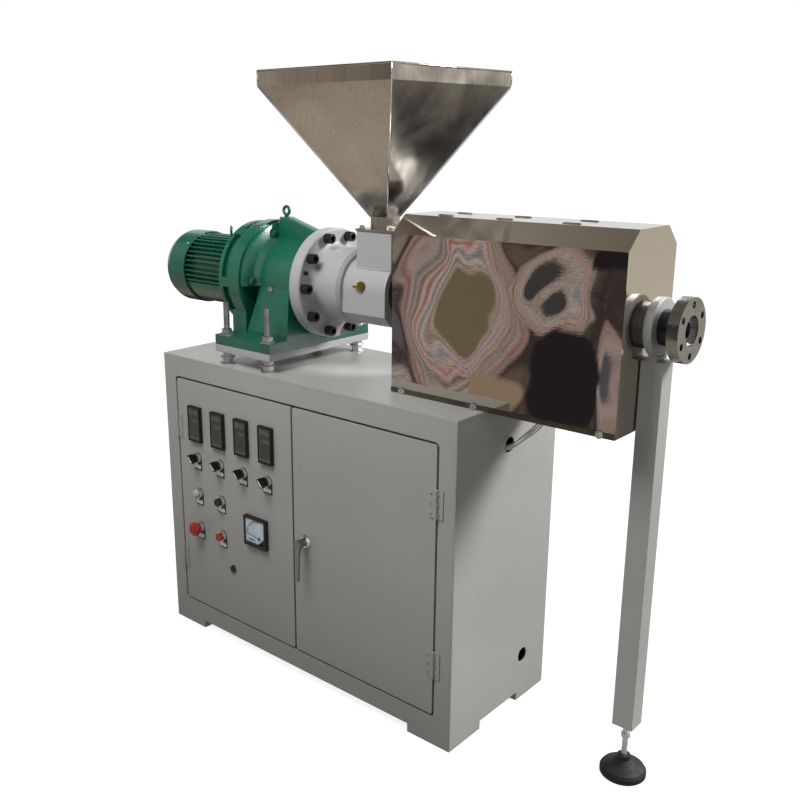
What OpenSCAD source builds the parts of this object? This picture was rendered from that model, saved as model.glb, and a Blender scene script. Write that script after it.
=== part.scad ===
// Small single-screw plastic extruder: a geared motor drives a screw in a guarded barrel,
// fed by a hopper and carried on a sheet-steel control cabinet with a support leg at the die.
// X runs along the screw towards the die, Y to the back and Z up from the floor.

/* [Cabinet] */
// Length of the cabinet along the screw
cabinet_w = 966; // [860:1:1100]
// Depth of the cabinet
cabinet_d = 394; // [380:1:480]
// Height of the cabinet's top face
cabinet_h = 775; // [740:1:900]
// Thickness of the wall sheets
wall_t = 3; // [2:0.5:4]
// Thickness of the top plate
top_t = 8; // [5:1:12]
// Level of the inner floor's underside
floor_z = 44; // [36:1:60]
// Height of the cut-outs that leave the corner feet
foot_h = 21; // [10:1:32]
// Length of a corner foot along each wall
foot_w = 120; // [80:1:150]
// Depth of the folds behind the corner feet
foot_fold = 32; // [20:1:45]
// Diameter of the cable holes in the right wall
cable_hole_d = 36; // [24:1:44]
// Depth of the upper cable hole from the front
lead_hole_y = 198; // [150:1:240]
// Drop of the upper cable hole below the cabinet's top
lead_hole_drop = 98; // [80:1:160]
// Depth of the lower cable hole from the front
mains_hole_y = 294; // [200:1:330]
// Height of the lower cable hole
mains_hole_z = 117; // [90:1:200]

/* [Doors] */
// Width of the frame beside the doors
stile_w = 45; // [40:1:60]
// Height of the frame under the doors
sill_h = 70; // [64:1:90]
// Height of the frame over the doors
header_h = 56; // [50:1:80]
// Depth of the folded edge round the doorway
fold_d = 24; // [20:1:30]
// Gap round each door
door_gap = 5.5; // [5.4:0.1:6.5]
// Thickness of the door sheet
door_t = 2; // [1.5:0.5:3]
// Depth of a door's folded rim
door_rim = 12; // [10:1:14]
// Radius of a door's corners
door_corner_r = 6; // [4:1:8]

/* [Hinges] */
// Height of a hinge
hinge_h = 66; // [54:1:80]
// Width of a hinge leaf
leaf_w = 17; // [14:1:20]
// Thickness of a hinge leaf
leaf_t = 2; // [1.5:0.5:2.5]
// Diameter of a hinge knuckle
knuckle_d = 8; // [8:0.5:9]
// Diameter of a hinge pin
pin_d = 4.5; // [4:0.5:5]
// Distance of the lower hinges' middle from the door's lower edge
hinge_low = 126.5; // [90:0.5:160]
// Distance of the upper hinges' middle from the door's upper edge
hinge_high = 130.5; // [90:0.5:160]

/* [Control panel] */
// First control column's distance from the door's left edge
column_inset = 73.5; // [66:0.5:80]
// Pitch of the control columns
column_pitch = 90.5; // [84:0.5:92]
// Drop of the controller row below the door's upper edge
controller_drop = 113.5; // [70:0.5:125]
// Drop of the selector row below the controllers
selector_drop = 95; // [88:1:105]
// Drop of the lamp and start button row below the selectors
start_drop = 100; // [80:1:110]
// Drop of the emergency and stop button row below the lamp
stop_drop = 98; // [80:1:110]
// Width of a temperature controller
controller_w = 48; // [44:1:52]
// Height of a temperature controller
controller_h = 96; // [90:1:100]
// Depth of a controller behind the door
controller_d = 70; // [50:1:90]
// Side of the square current meter
meter_w = 80; // [70:1:84]
// Distance of the meter's middle from the door's left edge
meter_inset = 300.5; // [292:0.5:312]
// Drop of the meter's middle below the controllers
meter_drop = 243; // [225:1:260]
// Outer diameter of a control's metal ring
ring_d = 29; // [27:1:31]
// Diameter of a push button or knob
cap_d = 22; // [20:0.5:23]
// Travel of the start and stop buttons
button_travel = 4; // [2:0.5:5]
// Diameter of the emergency stop's mushroom
mushroom_d = 40; // [34:1:44]
// Distance of the door lock from the door's left edge
lock_inset = 201.5; // [190:0.5:214]
// Height of the door lock above the door's lower edge
lock_rise = 146.5; // [110:0.5:160]

/* [Door handle] */
// Distance of the handle's hub from the door's free edge
handle_inset = 38; // [30:1:60]
// Drop of the handle's hub below the door's middle
handle_drop = 12.5; // [0:0.5:40]
// Length of the hanging lever
lever_l = 98; // [70:1:120]

/* [Drive] */
// Height of the screw's axis above the cabinet's top
axis_rise = 208; // [200:1:230]
// Start of the gear foot along the cabinet
foot_x = 197; // [190:1:225]
// Length of the gear foot along the screw
foot_l = 199; // [180:1:210]
// Width of the gear foot across the screw
foot_across = 362; // [330:1:376]
// Thickness of the cast foot
foot_t = 25; // [18:1:32]
// Thickness of the steel plate under the foot
plate_t = 18; // [12:1:24]
// Height of the plate above the cabinet
plate_rise = 31; // [26:1:36]
// Diameter of the foot studs
stud_d = 16; // [12:1:18]
// Length of a stud above the cast foot
stud_free = 84; // [50:1:100]
// Distance of the studs from the foot's ends
stud_inset_x = 25; // [20:1:34]
// Distance of the studs from the foot's sides
stud_inset_y = 18; // [16:1:28]
// Half width of the pedestal where it meets the foot
pedestal_half = 122; // [110:1:130]
// Radius of the gear ring
gear_r = 144; // [138:1:150]
// Radius of the slotted input ring
lantern_r = 138; // [124:1:140]
// Radius of the output drum
drum_r = 101; // [94:1:106]
// Radius of the motor's fan cowl
cowl_r = 98; // [94:1:102]
// Radius over the motor's fins
fin_r = 93; // [88:1:94]
// Radius of the motor's round case
motor_r = 80; // [74:1:82]
// Number of fins round the motor
fin_count = 44; // [24:2:56]
// Thickness of a motor fin
fin_t = 4; // [3:0.5:5]
// Place of the motor's front shield, measured from the cabinet's end
shield_x = 152; // [140:1:160]
// Thickness of the motor's front shield
shield_t = 16; // [10:1:20]
// Width of the slotted input ring
lantern_w = 46; // [40:1:54]
// Width of the gear ring
ring_w = 36; // [30:1:42]
// Length of the sloping shoulder from the gear ring to the drum
shoulder_l = 26; // [20:1:34]
// Left end of the motor, measured from the cabinet's end
motor_x = -110; // [-140:1:-60]
// Length of the fan cowl
cowl_l = 84; // [70:1:100]

/* [Feed and barrel] */
// Start of the adapter flange along the cabinet
adapter_x = 418; // [412:1:425]
// Thickness of the adapter flange
adapter_t = 34; // [24:1:40]
// Radius of the adapter flange
adapter_r = 134; // [128:1:140]
// Radius of the adapter's neck
neck_r = 91; // [86:1:94]
// Length of the adapter's neck
neck_l = 86; // [70:1:95]
// Fillet between the adapter's neck and flange
neck_fillet = 14; // [6:1:20]
// Half width of the feed housing
housing_r = 75; // [70:1:79]
// Length of the feed housing
housing_l = 130; // [126:1:136]
// Side of the square feed box
box_w = 105; // [96:1:112]
// Height of the feed box's top above the axis
box_rise = 139; // [130:1:148]
// Radius of the barrel
barrel_r = 45; // [40:1:50]
// Bore of the barrel
barrel_bore_r = 18; // [15:1:22]
// Distance of the cooling fitting from the housing's start
fitting_inset = 57; // [30:1:70]
// Radius of the barrel's steel ring
collar_r = 61; // [56:1:66]

/* [Hopper] */
// Mouth of the hopper along the screw
hopper_w = 382; // [340:1:420]
// Mouth of the hopper across the screw
hopper_d = 424; // [360:1:460]
// Height of the hopper's upright rim
rim_h = 34; // [24:1:44]
// Height of the hopper's sloping part
slope_h = 286; // [240:1:320]
// Side of the square throat
throat_w = 48; // [40:1:60]
// Height of the throat
throat_h = 31; // [24:1:40]
// Thickness of the plate that carries the throat
feed_plate_t = 5; // [3:1:8]
// Thickness of the hopper's sheet
hopper_t = 2; // [1.5:0.5:3]

/* [Guard] */
// Start of the barrel guard along the cabinet
guard_x = 712; // [706:1:730]
// Length of the barrel guard
guard_l = 550; // [540:1:552]
// Depth of the barrel guard
guard_d = 204; // [190:1:216]
// Height of the barrel guard
guard_h = 393; // [370:1:410]
// Width of the sloping edge along the top
chamfer_y = 41; // [30:1:50]
// Drop of the sloping edge along the top
chamfer_z = 38; // [30:1:46]
// Thickness of the guard's sheet
guard_t = 2; // [1.5:0.5:3]
// Height of the upturned edges of the guard's tray
tray_lip = 11; // [8:1:20]

/* [Die and leg] */
// Gap between the guard's end and the support leg
leg_gap = 2.5; // [1:0.5:6]
// Thickness of the barrel's end disc
disc_t = 18; // [14:1:22]
// Radius of the barrel's end disc
disc_r = 57; // [52:1:62]
// Radius of the die neck
die_neck_r = 35; // [30:1:38]
// Length of the die neck
die_neck_l = 31; // [26:1:40]
// Thickness of the die flange
die_t = 22; // [18:1:26]
// Radius of the die flange
die_r = 63; // [60:1:66]
// Radius of the die flange's bolt circle
die_bolt_r = 49; // [48:0.5:50]
// Diameter of the die flange's bolt holes
die_hole_d = 14; // [10:0.5:16]
// Radius of the seat in the die flange's face
die_seat_r = 29; // [26:1:32]
// Side of the square leg
leg_w = 45; // [38:1:50]
// Wall of the square leg
leg_t = 3; // [2:0.5:4]
// Height of the leg's lower end
leg_z = 122; // [105:1:140]
// Diameter of the levelling foot's pad
pad_d = 98; // [80:1:110]
// Height of the levelling foot's pad
pad_h = 46; // [34:1:55]
// Diameter of the levelling stud
leg_stud_d = 12; // [10:1:16]

/* [Hidden] */
$fn = 64;

paint_grey = [0.60, 0.60, 0.58];
casting_grey = [0.78, 0.79, 0.80];
enamel_green = [0.12, 0.42, 0.32];
steel = [0.72, 0.72, 0.70];
zinc = [0.62, 0.63, 0.64];
black = [0.06, 0.06, 0.07];
red = [0.78, 0.10, 0.08];
brass = [0.72, 0.55, 0.25];
white = [0.92, 0.92, 0.90];

// Small clearance between pieces that turn or slide in each other
slip = 0.3;
// Running clearance of a pin in its bore
pin_slip = 0.05;
// Overlap that keeps cuts clean
eps = 0.5;

axis_y = cabinet_d / 2;
axis_z = cabinet_h + axis_rise;

door_x0 = stile_w + door_gap;
door_x1 = cabinet_w - stile_w - door_gap;
door_z0 = sill_h + door_gap;
door_z1 = cabinet_h - header_h - door_gap;
door_mid = cabinet_w / 2;
lead_hole_z = cabinet_h - lead_hole_drop;
hinge_low_z = door_z0 + hinge_low;
hinge_high_z = door_z1 - hinge_high;
pin_y = -knuckle_d / 2 + 0.5;
left_pin_x = stile_w + door_gap / 2;
right_pin_x = cabinet_w - stile_w - door_gap / 2;
knuckle_gap = 0.4;

column_x = door_x0 + column_inset;
controller_z = door_z1 - controller_drop;
selector_z = controller_z - selector_drop;
start_z = selector_z - start_drop;
stop_z = start_z - stop_drop;
meter_x = door_x0 + meter_inset;
meter_z = controller_z - meter_drop;
lock_x = door_x0 + lock_inset;
lock_z = door_z0 + lock_rise;
handle_x = door_mid + door_gap / 2 + handle_inset;
handle_z = (door_z0 + door_z1) / 2 - handle_drop;

ring_h = 9;
plate_label_t = 1.5;
ring_floor = plate_label_t + 1;
cap_rest = ring_floor + button_travel + 0.5;
shank_d = 22;
knob_h = 26;
meter_front = 12;
controller_front = 9;
controller_lip = 1.8;
key_strip = 16;
fit_slip = 0.3;
mushroom_front = 34;
handle_front = 30;
rosette_h = 8;
rosette_barrel_d = 18;
lock_barrel_d = 16;
meter_barrel_d = 0.75 * meter_w;
label_drop = 33;

plate_z = cabinet_h + plate_rise;
cast_z = plate_z + plate_t;
cast_top = cast_z + foot_t;
foot_y0 = axis_y - foot_across / 2;
stud_top = cast_top + stud_free;
nut_h = 13;

fin_x0 = motor_x + cowl_l - 14;
lantern_x0 = shield_x + shield_t;
lantern_x1 = lantern_x0 + lantern_w;
gear_x1 = lantern_x1 + ring_w;
drum_x0 = gear_x1 + shoulder_l;
eye_rib_l = 58;
eye_rib_w = 36;
hump_l = 110;
hump_fall = 32;
hollow_w = 34;
hollow_drop = 12;
eye_rise = 8;
eye_shank = 6;
eye_x = gear_x1 + eye_rib_l / 2;
gear_eye_r = 10;
gear_eye_wire = 4;
motor_eye_x = shield_x - 88;
motor_eye_r = 8;
motor_eye_wire = 2.8;
motor_eye_turn = -48;

neck_x = adapter_x + adapter_t;
housing_x = neck_x + neck_l;
housing_x1 = housing_x + housing_l;
box_x = housing_x1 - box_w / 2;
box_top = axis_z + box_rise;
hopper_x = box_x - 10;
feed_plate_over = 2;
fitting_rise = 14;
spot_face_d = 28;
housing_cut = 24;
plug_d = 25;
plug_h = 4;
barb_d = 5;
barb_l = 17;
fitting_x = housing_x + fitting_inset;
fitting_y = axis_y - sqrt(housing_r * housing_r - fitting_rise * fitting_rise) + 2.5;
fitting_z = axis_z + fitting_rise;
throat_top = box_top + throat_h;
hopper_top = throat_top + slope_h + rim_h;

guard_y0 = axis_y - guard_d / 2;
guard_x1 = guard_x + guard_l;
leg_x = guard_x1 + leg_gap + leg_w / 2;
disc_x = leg_x - disc_t / 2;
die_neck_x = disc_x + disc_t;
die_x = die_neck_x + die_neck_l;
die_face_x = die_x + die_t;

leg_top = axis_z - disc_r - 8;
saddle_t = 8;

// Origin: the middle of the machine's box, on the floor
front_y = min(-mushroom_front, -handle_front, axis_y - hopper_d / 2);
back_y = max(cabinet_d, axis_y + hopper_d / 2);
origin_x = (motor_x + die_face_x) / 2;
origin_y = (front_y + back_y) / 2;

// Moves a piece from the cabinet's front left corner to the machine's origin
module placed() {
    translate([-origin_x, -origin_y, 0]) children();
}

function polar(r, a) = [r * cos(a), r * sin(a)];

// Points along an arc about c, from one angle to the other
function arc(c, r, a0, a1, steps = 6) = [for (i = [0 : steps]) c + polar(r, a0 + (a1 - a0) * i / steps)];

// A box between two corners
module span(a, b) {
    translate(a) cube(b - a);
}

// Places a turned shape on the screw's axis, at a distance along the machine
module on_axis(x = 0) {
    translate([x, axis_y, axis_z]) rotate([0, 90, 0]) children();
}

// A disc or cylinder on the screw's axis
module disc(x0, x1, r) {
    on_axis(x0) cylinder(h = x1 - x0, r = r);
}

// Places a control on the front face, with its own axis towards the front
module on_front(x, z) {
    translate([x, 0, z]) rotate([90, 0, 0]) children();
}

// A hexagon nut or bolt head, given over its flats
module hex(flats, h) {
    cylinder(h = h, d = flats / cos(30), $fn = 6);
}

// A lifting eye: a ring on a collared shank, standing on its own foot
module lifting_eye(ring_r, wire_r, shank_h) {
    cylinder(h = shank_h, r = wire_r * 1.4);
    translate([0, 0, shank_h + ring_r]) rotate([90, 0, 0])
        rotate_extrude() translate([ring_r, 0]) circle(r = wire_r, $fn = 24);
}

// Cabinet

module cabinet_top() {
    color(paint_grey) placed()
        span([0, 0, cabinet_h - top_t], [cabinet_w, cabinet_d, cabinet_h]);
}

module cabinet_floor() {
    color(paint_grey) placed()
        span([wall_t, wall_t, floor_z], [cabinet_w - wall_t, cabinet_d - wall_t, floor_z + wall_t]);
}

// A fold along the upper edge of a cut-out and behind the feet at its ends, from a0 to a1 along X
module cut_out_fold(a0, a1) {
    for (x = [a0 - wall_t, a1]) span([x, 0, 0], [x + wall_t, foot_fold, foot_h]);
    span([a0 - wall_t, 0, foot_h], [a1 + wall_t, foot_fold, foot_h + wall_t]);
}

module cabinet_back() {
    color(paint_grey) placed() {
        difference() {
            span([wall_t, cabinet_d - wall_t, 0], [cabinet_w - wall_t, cabinet_d, cabinet_h - top_t]);
            span([foot_w, cabinet_d - wall_t - eps, -eps], [cabinet_w - foot_w, cabinet_d + eps, foot_h]);
        }
        translate([0, cabinet_d, 0]) mirror([0, 1, 0]) cut_out_fold(foot_w, cabinet_w - foot_w);
    }
}

// The left wall, with the cut-out between its feet
module side_wall() {
    difference() {
        span([0, 0, 0], [wall_t, cabinet_d, cabinet_h - top_t]);
        span([-eps, foot_w, -eps], [wall_t + eps, cabinet_d - foot_w, foot_h]);
    }
    mirror([1, -1, 0]) cut_out_fold(foot_w, cabinet_d - foot_w);
}

module cabinet_side_left() {
    color(paint_grey) placed() side_wall();
}

module cabinet_side_right() {
    color(paint_grey) placed() difference() {
        translate([cabinet_w, 0, 0]) mirror([1, 0, 0]) side_wall();
        for (p = [[lead_hole_y, lead_hole_z], [mains_hole_y, mains_hole_z]])
            translate([cabinet_w - wall_t - eps, p[0], p[1]]) rotate([0, 90, 0])
                cylinder(h = wall_t + 2 * eps, d = cable_hole_d);
    }
}

// The rounded lower left corner of the doorway, filled between the sill and the stile
module doorway_corner() {
    r = door_corner_r + door_gap;
    translate([stile_w, wall_t, sill_h]) rotate([90, 0, 0]) linear_extrude(wall_t) difference() {
        translate([0, -1]) square([r, r + 1]);
        translate([r, r]) circle(r = r);
    }
}

// Both lower corners of the doorway
module doorway_corners() {
    doorway_corner();
    translate([cabinet_w, 0, 0]) mirror([1, 0, 0]) doorway_corner();
}

module front_header() {
    z0 = cabinet_h - header_h;
    color(paint_grey) placed() {
        span([wall_t, 0, z0], [cabinet_w - wall_t, wall_t, cabinet_h - top_t]);
        span([stile_w, 0, z0], [cabinet_w - stile_w, fold_d, z0 + wall_t]);
        translate([0, 0, z0 + sill_h]) mirror([0, 0, 1]) doorway_corners();
    }
}

module front_sill() {
    color(paint_grey) placed() {
        difference() {
            span([wall_t, 0, 0], [cabinet_w - wall_t, wall_t, sill_h]);
            span([foot_w, -eps, -eps], [cabinet_w - foot_w, wall_t + eps, foot_h]);
        }
        span([stile_w, 0, sill_h - wall_t], [cabinet_w - stile_w, fold_d, sill_h]);
        cut_out_fold(foot_w, cabinet_w - foot_w);
        doorway_corners();
    }
}

// An upright beside the doors, folded inwards at the doorway
module stile() {
    span([wall_t, 0, sill_h], [stile_w, wall_t, cabinet_h - header_h]);
    span([stile_w - wall_t, 0, sill_h], [stile_w, fold_d, cabinet_h - header_h]);
}

module front_stiles() {
    color(paint_grey) placed() {
        stile();
        translate([cabinet_w, 0, 0]) mirror([1, 0, 0]) stile();
    }
}

// Hinges

// One leaf with its knuckles: the pin's axis is at the origin and the leaf lies towards -X
module leaf(knuckles, bore) {
    seat = -pin_y;
    difference() {
        union() {
            span([-leaf_w, seat - leaf_t, -hinge_h / 2], [-knuckle_d / 2 - knuckle_gap, seat, hinge_h / 2]);
            for (k = knuckles) {
                translate([0, 0, k[0]]) cylinder(h = k[1] - k[0], d = knuckle_d);
                span([-knuckle_d / 2 - knuckle_gap - eps, seat - leaf_t, k[0]], [0, seat, k[1]]);
            }
        }
        if (bore > 0) translate([0, 0, -hinge_h]) cylinder(h = 2 * hinge_h, d = bore);
    }
}

outer_knuckles = [[-hinge_h / 2, -hinge_h / 6], [hinge_h / 6, hinge_h / 2]];
inner_knuckle = [[-hinge_h / 6 + knuckle_gap, hinge_h / 6 - knuckle_gap]];

// The frame's leaf carries the pin
module frame_leaf() {
    leaf(outer_knuckles, 0);
    translate([0, 0, -hinge_h / 2]) cylinder(h = hinge_h, d = pin_d);
}

module frame_hinges() {
    color(paint_grey) placed() for (z = [hinge_low_z, hinge_high_z]) {
        translate([left_pin_x, pin_y, z]) frame_leaf();
        translate([right_pin_x, pin_y, z]) mirror([1, 0, 0]) frame_leaf();
    }
}

// The two leaves that are welded to a door: towards_right is the door's own side of the pin
module door_leaves(pin_x, towards_right) {
    for (z = [hinge_low_z, hinge_high_z]) translate([pin_x, pin_y, z])
        mirror([towards_right ? 1 : 0, 0, 0]) leaf(inner_knuckle, pin_d + 2 * pin_slip);
}

// Doors

// A rectangle with round corners, from its lower left corner
module rounded(w, h, r) {
    translate([r, 0]) square([w - 2 * r, h]);
    translate([0, r]) square([w, h - 2 * r]);
    for (x = [r, w - r], y = [r, h - r]) translate([x, y]) circle(r = r);
}

// A door folded from one sheet, open at the back
module door_pan(x0, x1) {
    w = x1 - x0;
    h = door_z1 - door_z0;
    translate([x0, door_rim, door_z0]) rotate([90, 0, 0]) difference() {
        linear_extrude(door_rim) rounded(w, h, door_corner_r);
        translate([door_t, door_t, -eps]) linear_extrude(door_rim - door_t + eps)
            rounded(w - 2 * door_t, h - 2 * door_t, door_corner_r - door_t);
    }
}

// Places of the round controls, from the first selector to the stop button
round_controls = concat(
    [for (i = [0:3]) [column_x + i * column_pitch, selector_z]],
    [for (z = [start_z, stop_z]) for (i = [0:1]) [column_x + i * column_pitch, z]]);

module control_door() {
    color(paint_grey) placed() {
        difference() {
            door_pan(door_x0, door_mid - door_gap / 2);
            for (i = [0:3]) translate([column_x + i * column_pitch, 0, controller_z])
                cube([controller_w - 2 * controller_lip, 4 * door_t, controller_h - 2 * controller_lip],
                    center = true);
            for (p = round_controls) on_front(p[0], p[1])
                cylinder(h = 4 * door_t, d = shank_d + 2 * fit_slip, center = true);
            on_front(meter_x, meter_z)
                cylinder(h = 4 * door_t, d = meter_barrel_d + 2 * fit_slip, center = true);
            on_front(lock_x, lock_z) cylinder(h = 4 * door_t, d = lock_barrel_d + 2 * fit_slip, center = true);
        }
        door_leaves(left_pin_x, true);
    }
}

module plain_door() {
    color(paint_grey) placed() {
        difference() {
            door_pan(door_mid + door_gap / 2, door_x1);
            on_front(handle_x, handle_z)
                cylinder(h = 4 * door_t, d = rosette_barrel_d + 2 * fit_slip, center = true);
        }
        door_leaves(right_pin_x, false);
    }
}

// Control panel

module temperature_controllers() {
    w = controller_w / 2;
    h = controller_h / 2;
    bw = w - controller_lip - fit_slip;
    bh = h - controller_lip - fit_slip;
    bezel = 4;
    window_depth = 1.5;
    color(black) placed() for (i = [0:3]) translate([column_x + i * column_pitch, 0, controller_z]) {
        difference() {
            span([-w, -controller_front, -h], [w, 0, h]);
            span([-w + bezel, -controller_front - eps, -h + key_strip],
                [w - bezel, -controller_front + window_depth, h - bezel]);
        }
        span([-bw, 0, -bh], [bw, controller_d, bh]);
    }
}

meter_rim = 5;
meter_foot = 6;
meter_depth = 45;
dial_t = 1;
dial_depth = 4;
dial_corner = 22;
dial_half = meter_w / 2 - meter_rim;

module meter_case() {
    color(black) placed() translate([meter_x, 0, meter_z]) {
        difference() {
            span([-meter_w / 2, -meter_front, -meter_w / 2], [meter_w / 2, 0, meter_w / 2]);
            span([-dial_half, -meter_front - eps, -dial_half + meter_foot],
                [dial_half, -meter_front + dial_depth, dial_half]);
        }
        rotate([-90, 0, 0]) cylinder(h = meter_depth, d = meter_barrel_d);
    }
}

module meter_dial() {
    h = dial_half;
    foot = -h + meter_foot;
    color(white) placed() translate([meter_x, -meter_front + dial_depth, meter_z]) rotate([90, 0, 0])
        linear_extrude(dial_t) polygon([[-h, foot], [h - dial_corner, foot], [h, foot + dial_corner], [h, h], [-h, h]]);
}

// A label plate, round at its top, with the label's field below the control
module label_plate() {
    w = ring_d + 1;
    difference() {
        union() {
            cylinder(h = plate_label_t, d = w);
            translate([-w / 2, -label_drop, 0]) cube([w, label_drop, plate_label_t]);
        }
        translate([0, 0, -eps]) cylinder(h = 2 * plate_label_t, d = shank_d + 2 * fit_slip);
    }
}

module label_plates() {
    color(black) placed() for (p = round_controls) on_front(p[0], p[1]) label_plate();
}

// A control's metal ring with its shank through the door and the switch block behind
module control_ring() {
    block_w = 30;
    block_h = 36;
    neck_h = 4;
    difference() {
        union() {
            translate([0, 0, plate_label_t]) cylinder(h = ring_h, d1 = ring_d, d2 = ring_d - 1.5);
            translate([0, 0, -door_t - neck_h]) cylinder(h = plate_label_t + door_t + neck_h + eps, d = shank_d);
            translate([-block_w / 2, -block_w / 2, -door_t - neck_h - block_h]) cube([block_w, block_w, block_h]);
        }
        translate([0, 0, ring_floor]) cylinder(h = 2 * ring_h, d = cap_d + 2 * slip);
    }
}

module control_rings() {
    color(steel) placed() for (p = round_controls) on_front(p[0], p[1]) control_ring();
}

// A round cap that stands in its ring
module cap(h) {
    rotate_extrude() polygon([[0, 0], [cap_d / 2, 0], [cap_d / 2, h - 1.5], [cap_d / 2 - 1.5, h], [0, h]]);
}

module indicator_lamp() {
    color(white) placed() on_front(round_controls[4][0], round_controls[4][1])
        translate([0, 0, ring_floor]) rotate_extrude()
            polygon([[0, 0], [cap_d / 2, 0], [cap_d / 2, 13], [cap_d / 2 - 2, 16], [cap_d / 2 - 5, 17.5], [0, 18]]);
}

// A selector knob with its grip bar, pointing up to the left at rest
module selector(i) {
    color(black) placed() on_front(round_controls[i][0], round_controls[i][1])
        translate([0, 0, ring_floor + slip]) {
            cap(11);
            rotate(45) translate([-4, -cap_d / 2, 10]) cube([8, cap_d + 3, knob_h - 10]);
        }
}

module selector_1() { selector(0); }
module selector_2() { selector(1); }
module selector_3() { selector(2); }
module selector_4() { selector(3); }

module start_button() {
    color([0.08, 0.16, 0.13]) placed() on_front(round_controls[5][0], round_controls[5][1])
        translate([0, 0, cap_rest]) cap(12);
}

module stop_button() {
    color(red) placed() on_front(round_controls[7][0], round_controls[7][1])
        translate([0, 0, cap_rest]) cap(12);
}

module emergency_stop() {
    color(red) placed() on_front(round_controls[6][0], round_controls[6][1])
        translate([0, 0, cap_rest]) rotate_extrude() polygon([[0, 0], [cap_d / 2, 0], [cap_d / 2, 10],
            [mushroom_d / 2 - 2, 12], [mushroom_d / 2, 15], [mushroom_d / 2 - 1, 20], [mushroom_d / 2 - 5, 24],
            [mushroom_d / 2 - 11, mushroom_front - cap_rest - 1], [0, mushroom_front - cap_rest]]);
}

module door_lock() {
    color(steel) placed() on_front(lock_x, lock_z) {
        cylinder(h = 5, d1 = lock_barrel_d + 5, d2 = lock_barrel_d + 2);
        translate([0, 0, -18]) cylinder(h = 18 + eps, d = lock_barrel_d);
    }
}

// Door handle

spindle_d = 9;
spindle_tail = 8;
hub_d = 21;
lever_reach = 24;
lever_root_d = 11;
lever_tip_d = 7;

module handle_rosette() {
    color(steel) placed() on_front(handle_x, handle_z) difference() {
        union() {
            rotate_extrude() polygon([[0, 0], [17, 0], [17, 3], [14, rosette_h], [0, rosette_h]]);
            translate([0, 0, -20]) cylinder(h = 20 + eps, d = rosette_barrel_d);
        }
        translate([0, 0, -spindle_tail - 2]) cylinder(h = 30, d = spindle_d + 2 * pin_slip);
    }
}

// The lever's round root, below the hub
module lever_root() {
    translate([0, -lever_reach, handle_front - 6]) cylinder(h = 6, d = lever_root_d);
}

module lock_lever() {
    color(steel) placed() on_front(handle_x, handle_z) {
        translate([0, 0, -spindle_tail]) cylinder(h = handle_front, d = spindle_d);
        translate([0, 0, rosette_h + slip]) cylinder(h = handle_front - rosette_h - slip, d = hub_d);
        hull() {
            translate([0, 0, handle_front - 8]) cylinder(h = 8, d = hub_d - 1);
            lever_root();
        }
        hull() {
            lever_root();
            translate([0, lever_tip_d / 2 - lever_l, handle_front - 4]) cylinder(h = 4, d = lever_tip_d);
        }
    }
}

// Drive

stud_places = [for (x = [foot_x + stud_inset_x, foot_x + foot_l - stud_inset_x])
    for (y = [foot_y0 + stud_inset_y, foot_y0 + foot_across - stud_inset_y]) [x, y]];

// Cuts the studs' holes through what they hold
module stud_holes(z0, z1) {
    for (p = stud_places) translate([p[0], p[1], z0 - eps])
        cylinder(h = z1 - z0 + 2 * eps, d = stud_d + 2 * fit_slip);
}

module base_plate() {
    color(casting_grey) placed() difference() {
        span([foot_x, foot_y0, plate_z], [foot_x + foot_l, foot_y0 + foot_across, cast_z]);
        stud_holes(plate_z, cast_z);
    }
}

module levelling_studs() {
    washer_t = 3;
    nut_w = 1.5 * stud_d;
    washer_d = 1.9 * stud_d;
    color(zinc) placed() for (p = stud_places) translate([p[0], p[1], 0]) {
        translate([0, 0, cabinet_h]) cylinder(h = stud_top - cabinet_h, d = stud_d);
        translate([0, 0, cabinet_h]) cylinder(h = washer_t, d = washer_d);
        translate([0, 0, plate_z - nut_h]) hex(nut_w, nut_h);
        translate([0, 0, cast_top]) cylinder(h = washer_t, d = washer_d);
        translate([0, 0, cast_top + washer_t]) hex(nut_w, nut_h);
    }
}

// The main pedestal: it leans back from the gear ring and widens to the foot
module pedestal() {
    x1 = foot_x + foot_l;
    hull() {
        span([gear_x1 + 3, axis_y - pedestal_half, cast_top - eps], [x1, axis_y + pedestal_half, cast_top + 10]);
        span([drum_x0 + 8, axis_y - drum_r + 3, axis_z - 30], [x1 - 12, axis_y + drum_r - 3, axis_z]);
    }
}

web_half = 0.7 * pedestal_half;

// The upright cheek under the gear ring and the narrow web that joins it to the pedestal
module ring_cheek() {
    span([foot_x + 2, axis_y - pedestal_half, cast_top - eps], [gear_x1, axis_y + pedestal_half, axis_z]);
    span([gear_x1 - eps, axis_y - web_half, cast_top - eps], [drum_x0 + 14, axis_y + web_half, axis_z]);
}

// The rounded hump that carries the lifting eye and falls towards the adapter
module eye_hump() {
    rise = gear_r + eye_rise;
    hull() {
        translate([eye_x, axis_y, axis_z]) cylinder(h = rise, d = eye_rib_w);
        translate([eye_x + hump_l, axis_y, axis_z]) cylinder(h = rise - hump_fall, d = eye_rib_w);
    }
}

// The wedge-shaped hollows between the cheek and the pedestal, at the front and at the back
module cheek_hollows() {
    top = axis_z - hollow_drop;
    depth = 1.15 * pedestal_half - web_half;
    for (y = [axis_y - web_half, axis_y + web_half + depth]) translate([0, y, 0]) rotate([90, 0, 0])
        linear_extrude(depth) polygon([[gear_x1, top], [gear_x1 + hollow_w, top],
            [gear_x1 + 3, cast_top + 6], [gear_x1, cast_top + 6]]);
}

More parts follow.
